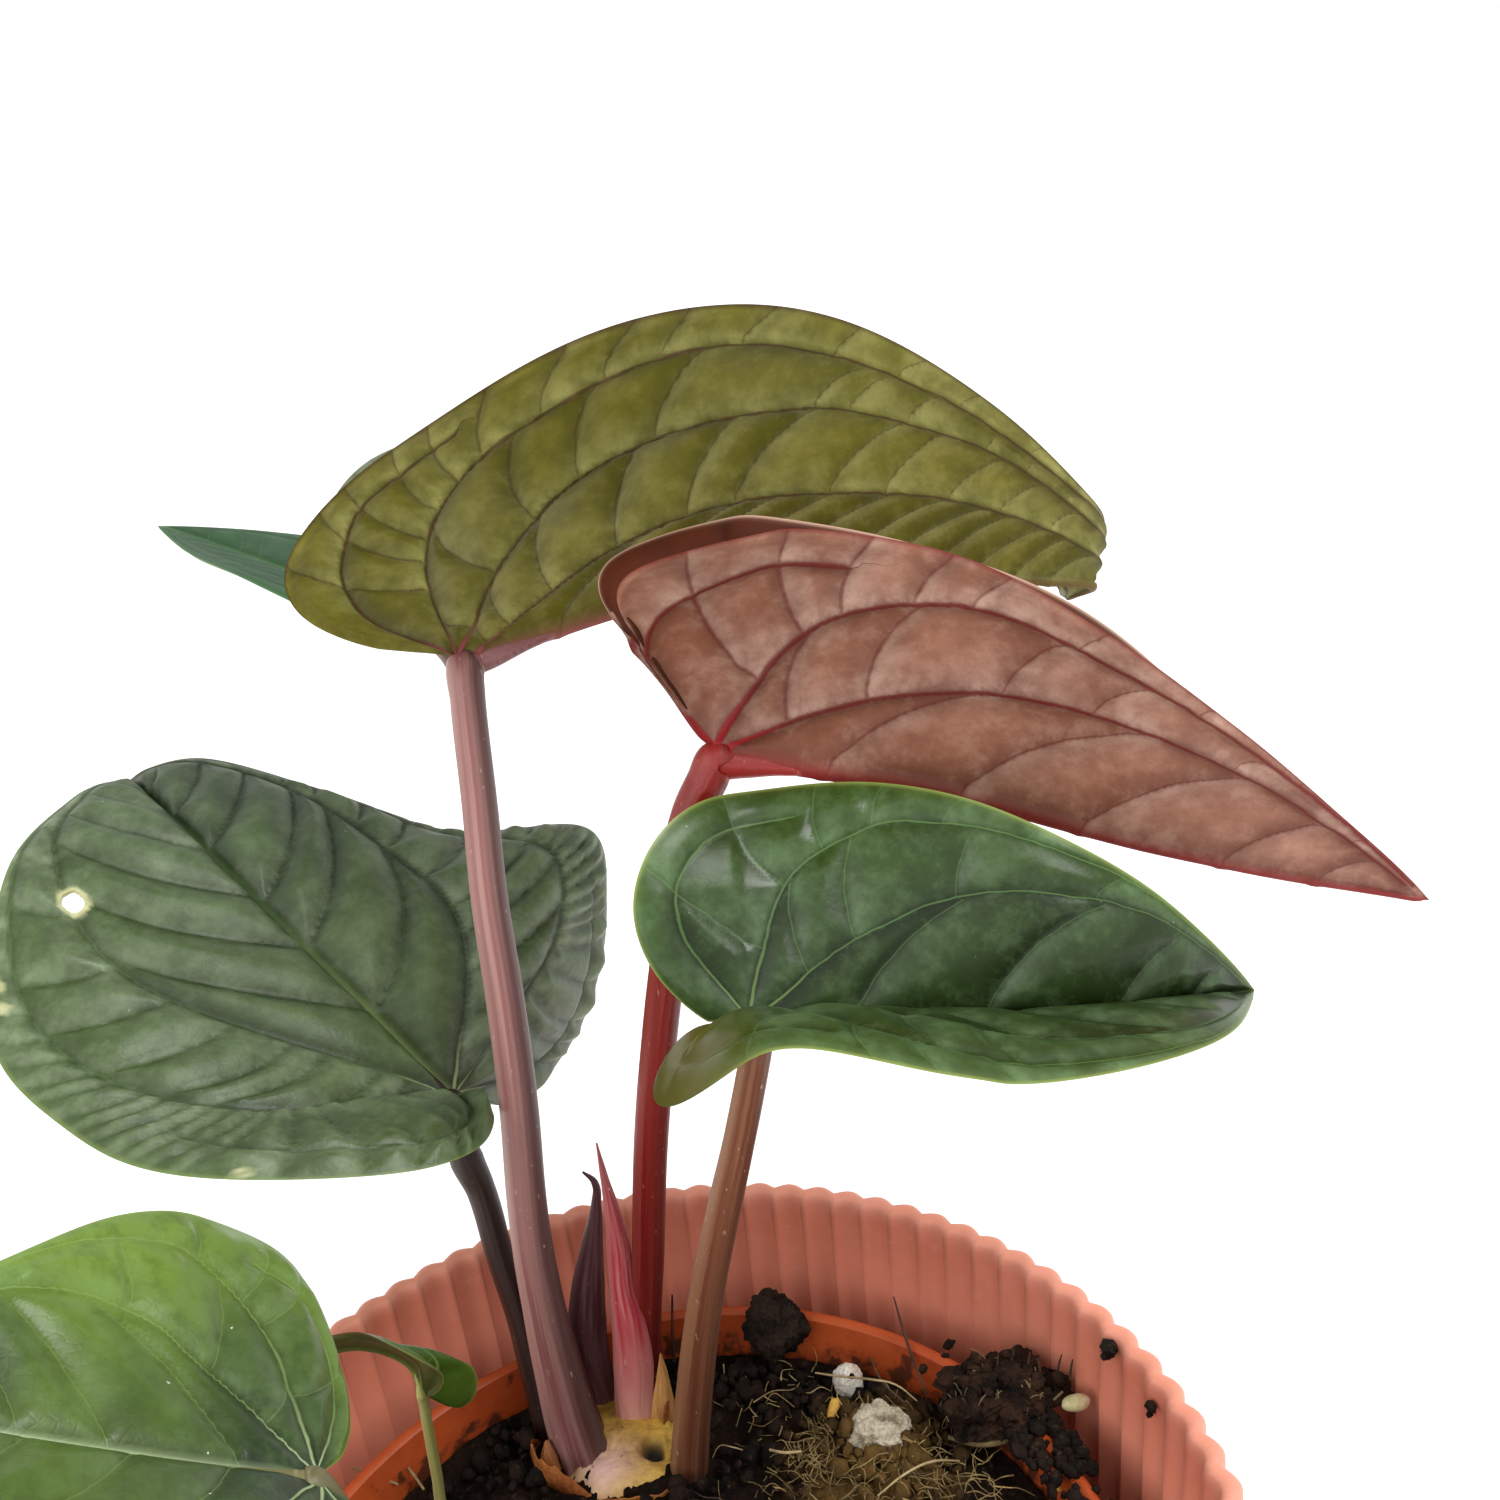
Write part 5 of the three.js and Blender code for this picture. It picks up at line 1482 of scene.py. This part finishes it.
deselect()
bpy.ops.mesh.primitive_uv_sphere_add(segments=112, ring_count=72, radius=1)
rhizome = bpy.context.object
grown = []
for corner in points_of(rhizome):
    x, y, z = corner
    run = y * 15 + x * 4
    ring = 1 + 0.035 * math.sin(run * math.pi / RHIZOME["ring"])
    crease = 0.03 * math.exp(-((run % RHIZOME["ring"] - 2.5) / 0.35) ** 2)
    rough = 0.05 * noise.fractal(Vector(corner) * 5, 0.7, 2, 5)
    grown.append((x * (ring - crease + rough), y * (1 + rough), z * (ring - crease + rough)))
grown = np.array(grown) * RHIZOME["reach"] + RHIZOME["centre"]
from_pit = np.hypot(grown[:, 0] - PIT["x"], grown[:, 1] - PIT["y"])
on_top = grown[:, 2] > RHIZOME["centre"][2] + 2
grown[:, 2] -= np.where(on_top, PIT["depth"] * np.exp(-(from_pit / PIT["reach"]) ** 4), 0)
set_points(rhizome, grown * MM)
pit_mask = np.where(on_top, np.exp(-(from_pit / (PIT["reach"] * 1.05)) ** 6), 0)
young = np.exp(-(((grown[:, 0] - YOUNG["x"]) / YOUNG["reach_x"]) ** 2
                 + ((grown[:, 1] - YOUNG["y"]) / YOUNG["reach_y"]) ** 2))
low = np.clip((102.2 - grown[:, 2]) / 2.5, 0, 1)
write_marks(rhizome, "rhizome_marks", "FLOAT_COLOR", np.stack([pit_mask, young, low, np.ones(len(low))], 1))


def paint_rhizome(tree):
    pit, young_part, low_part = channels_of(tree, "rhizome_marks")
    colour = layered(
        tree, mottled(tree, "#a37826", "#e6bc52", 110),
        ("#e2b8ae", young_part),
        (mix(tree, "#8a4a24", "#b8743c", cloud(tree, 220)), low_part),
        ("#2a1a12", cloud(tree, 520, 3).spread(0.66, 0.72, 0, 0.85)),
        # Painted shade: the pit is painted nearly black.
        ("#17100d", pit))
    return colour, 0.6, cloud(tree, 420, 5, (1, 2.5, 1))


rhizome.data.materials.append(new_material("corky_rhizome", paint_rhizome, bump=0.6, depth=0.0008))
print("rhizome from", grown[:, 2].min().round(1), "to", grown[:, 2].max().round(1), "mm")

# %% [markdown]
# Papery brown skins, what is left of old sheaths, curl up round the foot of the rhizome. Each is a strip
# of a grid, bent along a path and leaning outward, with a ragged edge, and gets its thickness from a
# modifier.
# %% Papery skins
def papery_skin(name, height, lean, path):
    """A thin curled strip: a grid bent along a path of places and turned up, then given a thickness."""
    deselect()
    bpy.ops.mesh.primitive_grid_add(x_subdivisions=40, y_subdivisions=8, size=2)
    strip = bpy.context.object
    strip.name = name
    corners = points_of(strip)
    share, up_share = (corners[:, 0] + 1) / 2, (corners[:, 1] + 1) / 2
    foot = smooth_curve(path, share)
    out = unit(foot[:, :2] - np.array(RHIZOME["centre"])[:2])
    ragged = np.array([1 + 0.35 * noise.noise(Vector((s * 9, len(name), 0))) for s in share])
    taper = np.sin(np.clip(share, 0.02, 0.98) * math.pi) ** 0.5
    foot[:, 2] += height * ragged * taper * up_share
    foot[:, :2] += out * (lean * np.sin(up_share * 2.4))[:, None]
    set_points(strip, foot * MM)
    activate(strip)
    solid = strip.modifiers.new("thickness", "SOLIDIFY")
    solid.thickness = 0.3 * MM
    solid.offset = 0
    bpy.ops.object.modifier_apply(modifier=solid.name)
    return strip


SKINS = {
    "left_skin": (6.2, 0.8, [(-9.5, 33.6, 101), (-13.6, 35.4, 101.2), (-16.8, 38.6, 101.4),
                             (-17.6, 42.4, 101.4), (-16.4, 46, 101)]),
    "front_skin": (4.2, 0.6, [(-12.5, 33.8, 100.2), (-7.5, 30.6, 100.4), (-2.4, 28.8, 100.4),
                              (3, 29.6, 100), (6.6, 32, 99.6)]),
    "right_skin": (4, 0.3, [(3, 42.2, 102.6), (4.6, 44.2, 102.4), (6.2, 45.6, 102)]),
}
skins = [papery_skin(name, *values) for name, values in SKINS.items()]
skin_material = new_material("papery_skin", two_tones(("#7a3a18", "#c07a3e", 180), 0.5, 700, 4, (1, 1, 0.3)),
                             bump=0.5)
for strip in skins:
    strip.data.materials.append(skin_material)
finish(join([rhizome] + skins), "rhizome_with_skins", ["rhizome"], smooth=60)

# %% [markdown]
# On the peat lie a lump of bark, a white bead of expanded mineral, a pumice stone, and a clump of peat
# fibre with a seed at its end. Each starts as a finely divided rough ball, moved to its place.
# %% Bark, stones and seed
STONES = {
    "bark_lump": dict(centre=(25, 52, 109), half=(4.9, 4.5, 6), roughness=0.28, seed=3, slot="bark",
                      tones=("#0e0a08", "#382c24", 260), rough=0.85, bump=0.9),
    "white_bead": dict(centre=(34.8, 41.2, 103.8), half=(2.6, 2.4, 3), roughness=0.12, seed=5, slot="bead",
                       tones=("#c2b8a8", "#eeeae0", 240), rough=0.55, bump=0.3),
    "pumice": dict(centre=(36.7, 29.6, 102.8), half=(5, 4.6, 4.5), roughness=0.24, seed=9, slot="pumice",
                   tones=("#7a6e56", "#d6cdb6", 300), rough=0.7, bump=0.9),
    "fibre_clump": dict(centre=(56.2, 25.4, 109.8), half=(8.8, 6, 3.6), roughness=0.5, seed=12, slot="fibre",
                        tones=("#0c0705", "#38251a", 280), rough=0.9, bump=0.9),
    "cream_seed": dict(centre=(65.8, 18.9, 110.8), half=(2.3, 1.3, 1.25), roughness=0.06, seed=2, slot="seed",
                       tones=("#b9b57a", "#e9e2c4", 150), rough=0.4, bump=0.15),
}
stones = {}
for name, stone in STONES.items():
    piece = rough_ball(name, stone["half"], stone["roughness"], stone["seed"],
                       subdivisions=4 if name == "cream_seed" else 6)
    set_points(piece, (points_of(piece) / MM + stone["centre"]) * MM)
    paint = two_tones(stone["tones"], stone["rough"], 1100, 5)
    material = new_material(f"{name}_skin", paint, bump=stone["bump"], depth=0.0006,
                            shine=0.15 if stone["rough"] > 0.8 else 0.4)
    piece.data.materials.append(material)
    stones[name] = piece
print("stones", list(stones))

# %% [markdown]
# The clump of fibre is the least tidy thing here, so it gets the most loose parts: crumbs stuck all over
# it, a few upright spines, a thick rootlet at its foot, and a tangle of fine ones. None may reach the
# wall of the cachepot. Last, all five things ride on the body like the rest.
# %% Fibre clump
CLUMP = STONES["fibre_clump"]
CLOD_REACH = 68
ROOTLET_REACH = 68.5
CHOSEN_CLODS = [
    ((52.6, 27.8, 111.6), (0, 0, 0), 1.5), ((52.9, 27.7, 113.6), (0.4, 0, 1), 1.2),
    ((53.4, 27.5, 115.2), (0, 0.3, 2), 0.8), ((57.6, 27.3, 113.4), (0, 0, 0), 1),
    ((58, 27.2, 115.2), (1, 0, 0), 0.7), ((64.4, 21.6, 113.4), (0, 1, 0), 1)]
SPINE_FOOT = 112
SPINES = [(54, 27, 4.4, -0.6), (58.5, 26.8, 5, 0.7), (60.8, 25.6, 4, 0.5), (62.4, 24.4, 3.6, -0.4),
          (64.6, 23, 4.6, 0.9), (66, 21.4, 4.8, 0.6), (56.2, 27, 3.8, 0.3)]
THICK_ROOTLET = [(46, 22.6, 106.6, 0.35), (50, 20.4, 106.2, 0.55), (54, 19.4, 106.6, 0.6),
                 (58, 19.8, 107.4, 0.5), (61.4, 20.6, 109.4, 0.3), (64.6, 21, 111.4, 0.2)]


def on_clump(turn_by, rise_by):
    """A place on the clump's plain shape, measured from its centre."""
    toward = (math.cos(turn_by) * math.cos(rise_by), math.sin(turn_by) * math.cos(rise_by), math.sin(rise_by))
    return np.array(toward) * CLUMP["half"]


def stuck_clods(count):
    places = []
    for _ in range(count):
        spot = on_clump(chance.uniform(0, math.tau), math.asin(chance.uniform(-0.4, 1)))
        spot = spot * chance.uniform(0.85, 1.1) + CLUMP["centre"]
        if math.hypot(*spot[:2]) < CLOD_REACH:
            places.append((tuple(spot), any_turn(), chance.uniform(0.5, 1.3)))
    return places


def rootlet_tangle(count):
    lines = []
    for _ in range(count):
        spot = Vector(on_clump(chance.uniform(0, math.tau), chance.uniform(-0.5, 1.2)))
        spot += Vector(CLUMP["centre"])
        drift = Vector((chance.uniform(-1, 1), chance.uniform(-1, 1), chance.uniform(-0.5, 0.7))) * 2.4
        middle, end = spot + drift * 0.5 + Vector((0, 0, 0.5)), spot + drift
        if max(math.hypot(*end[:2]), math.hypot(*spot[:2])) < ROOTLET_REACH:
            lines.append([(*spot, 0.1), (*middle, 0.11), (*end, 0.06)])
    return lines


clod_models = [rough_ball(f"clod_{n}", (1.3, 1, 0.9), 0.5, n + 7) for n in range(4)]
clods = copies(clod_models, stuck_clods(90) + CHOSEN_CLODS)
spines = threads("spines", [
    [(x, y, SPINE_FOOT + rise * 0.2, 0.22), (x + lean * 0.4, y, SPINE_FOOT + rise * 0.6, 0.18),
     (x + lean, y, SPINE_FOOT + rise, 0.1)] for x, y, rise, lean in SPINES])
rootlets = threads("rootlets", rootlet_tangle(80) + [THICK_ROOTLET])
clods.data.materials.append(stones["fibre_clump"].data.materials[0])
spines.data.materials.append(dark_root_material)
rootlets.data.materials.append(new_material("brown_rootlet", two_tones(("#3c3220", "#7e6e46", 140), 0.7)))
stones["fibre_clump"] = join([stones["fibre_clump"], clods, spines, rootlets])
for name, piece in stones.items():
    finish(piece, f"{name}_body", [name], smooth=60)
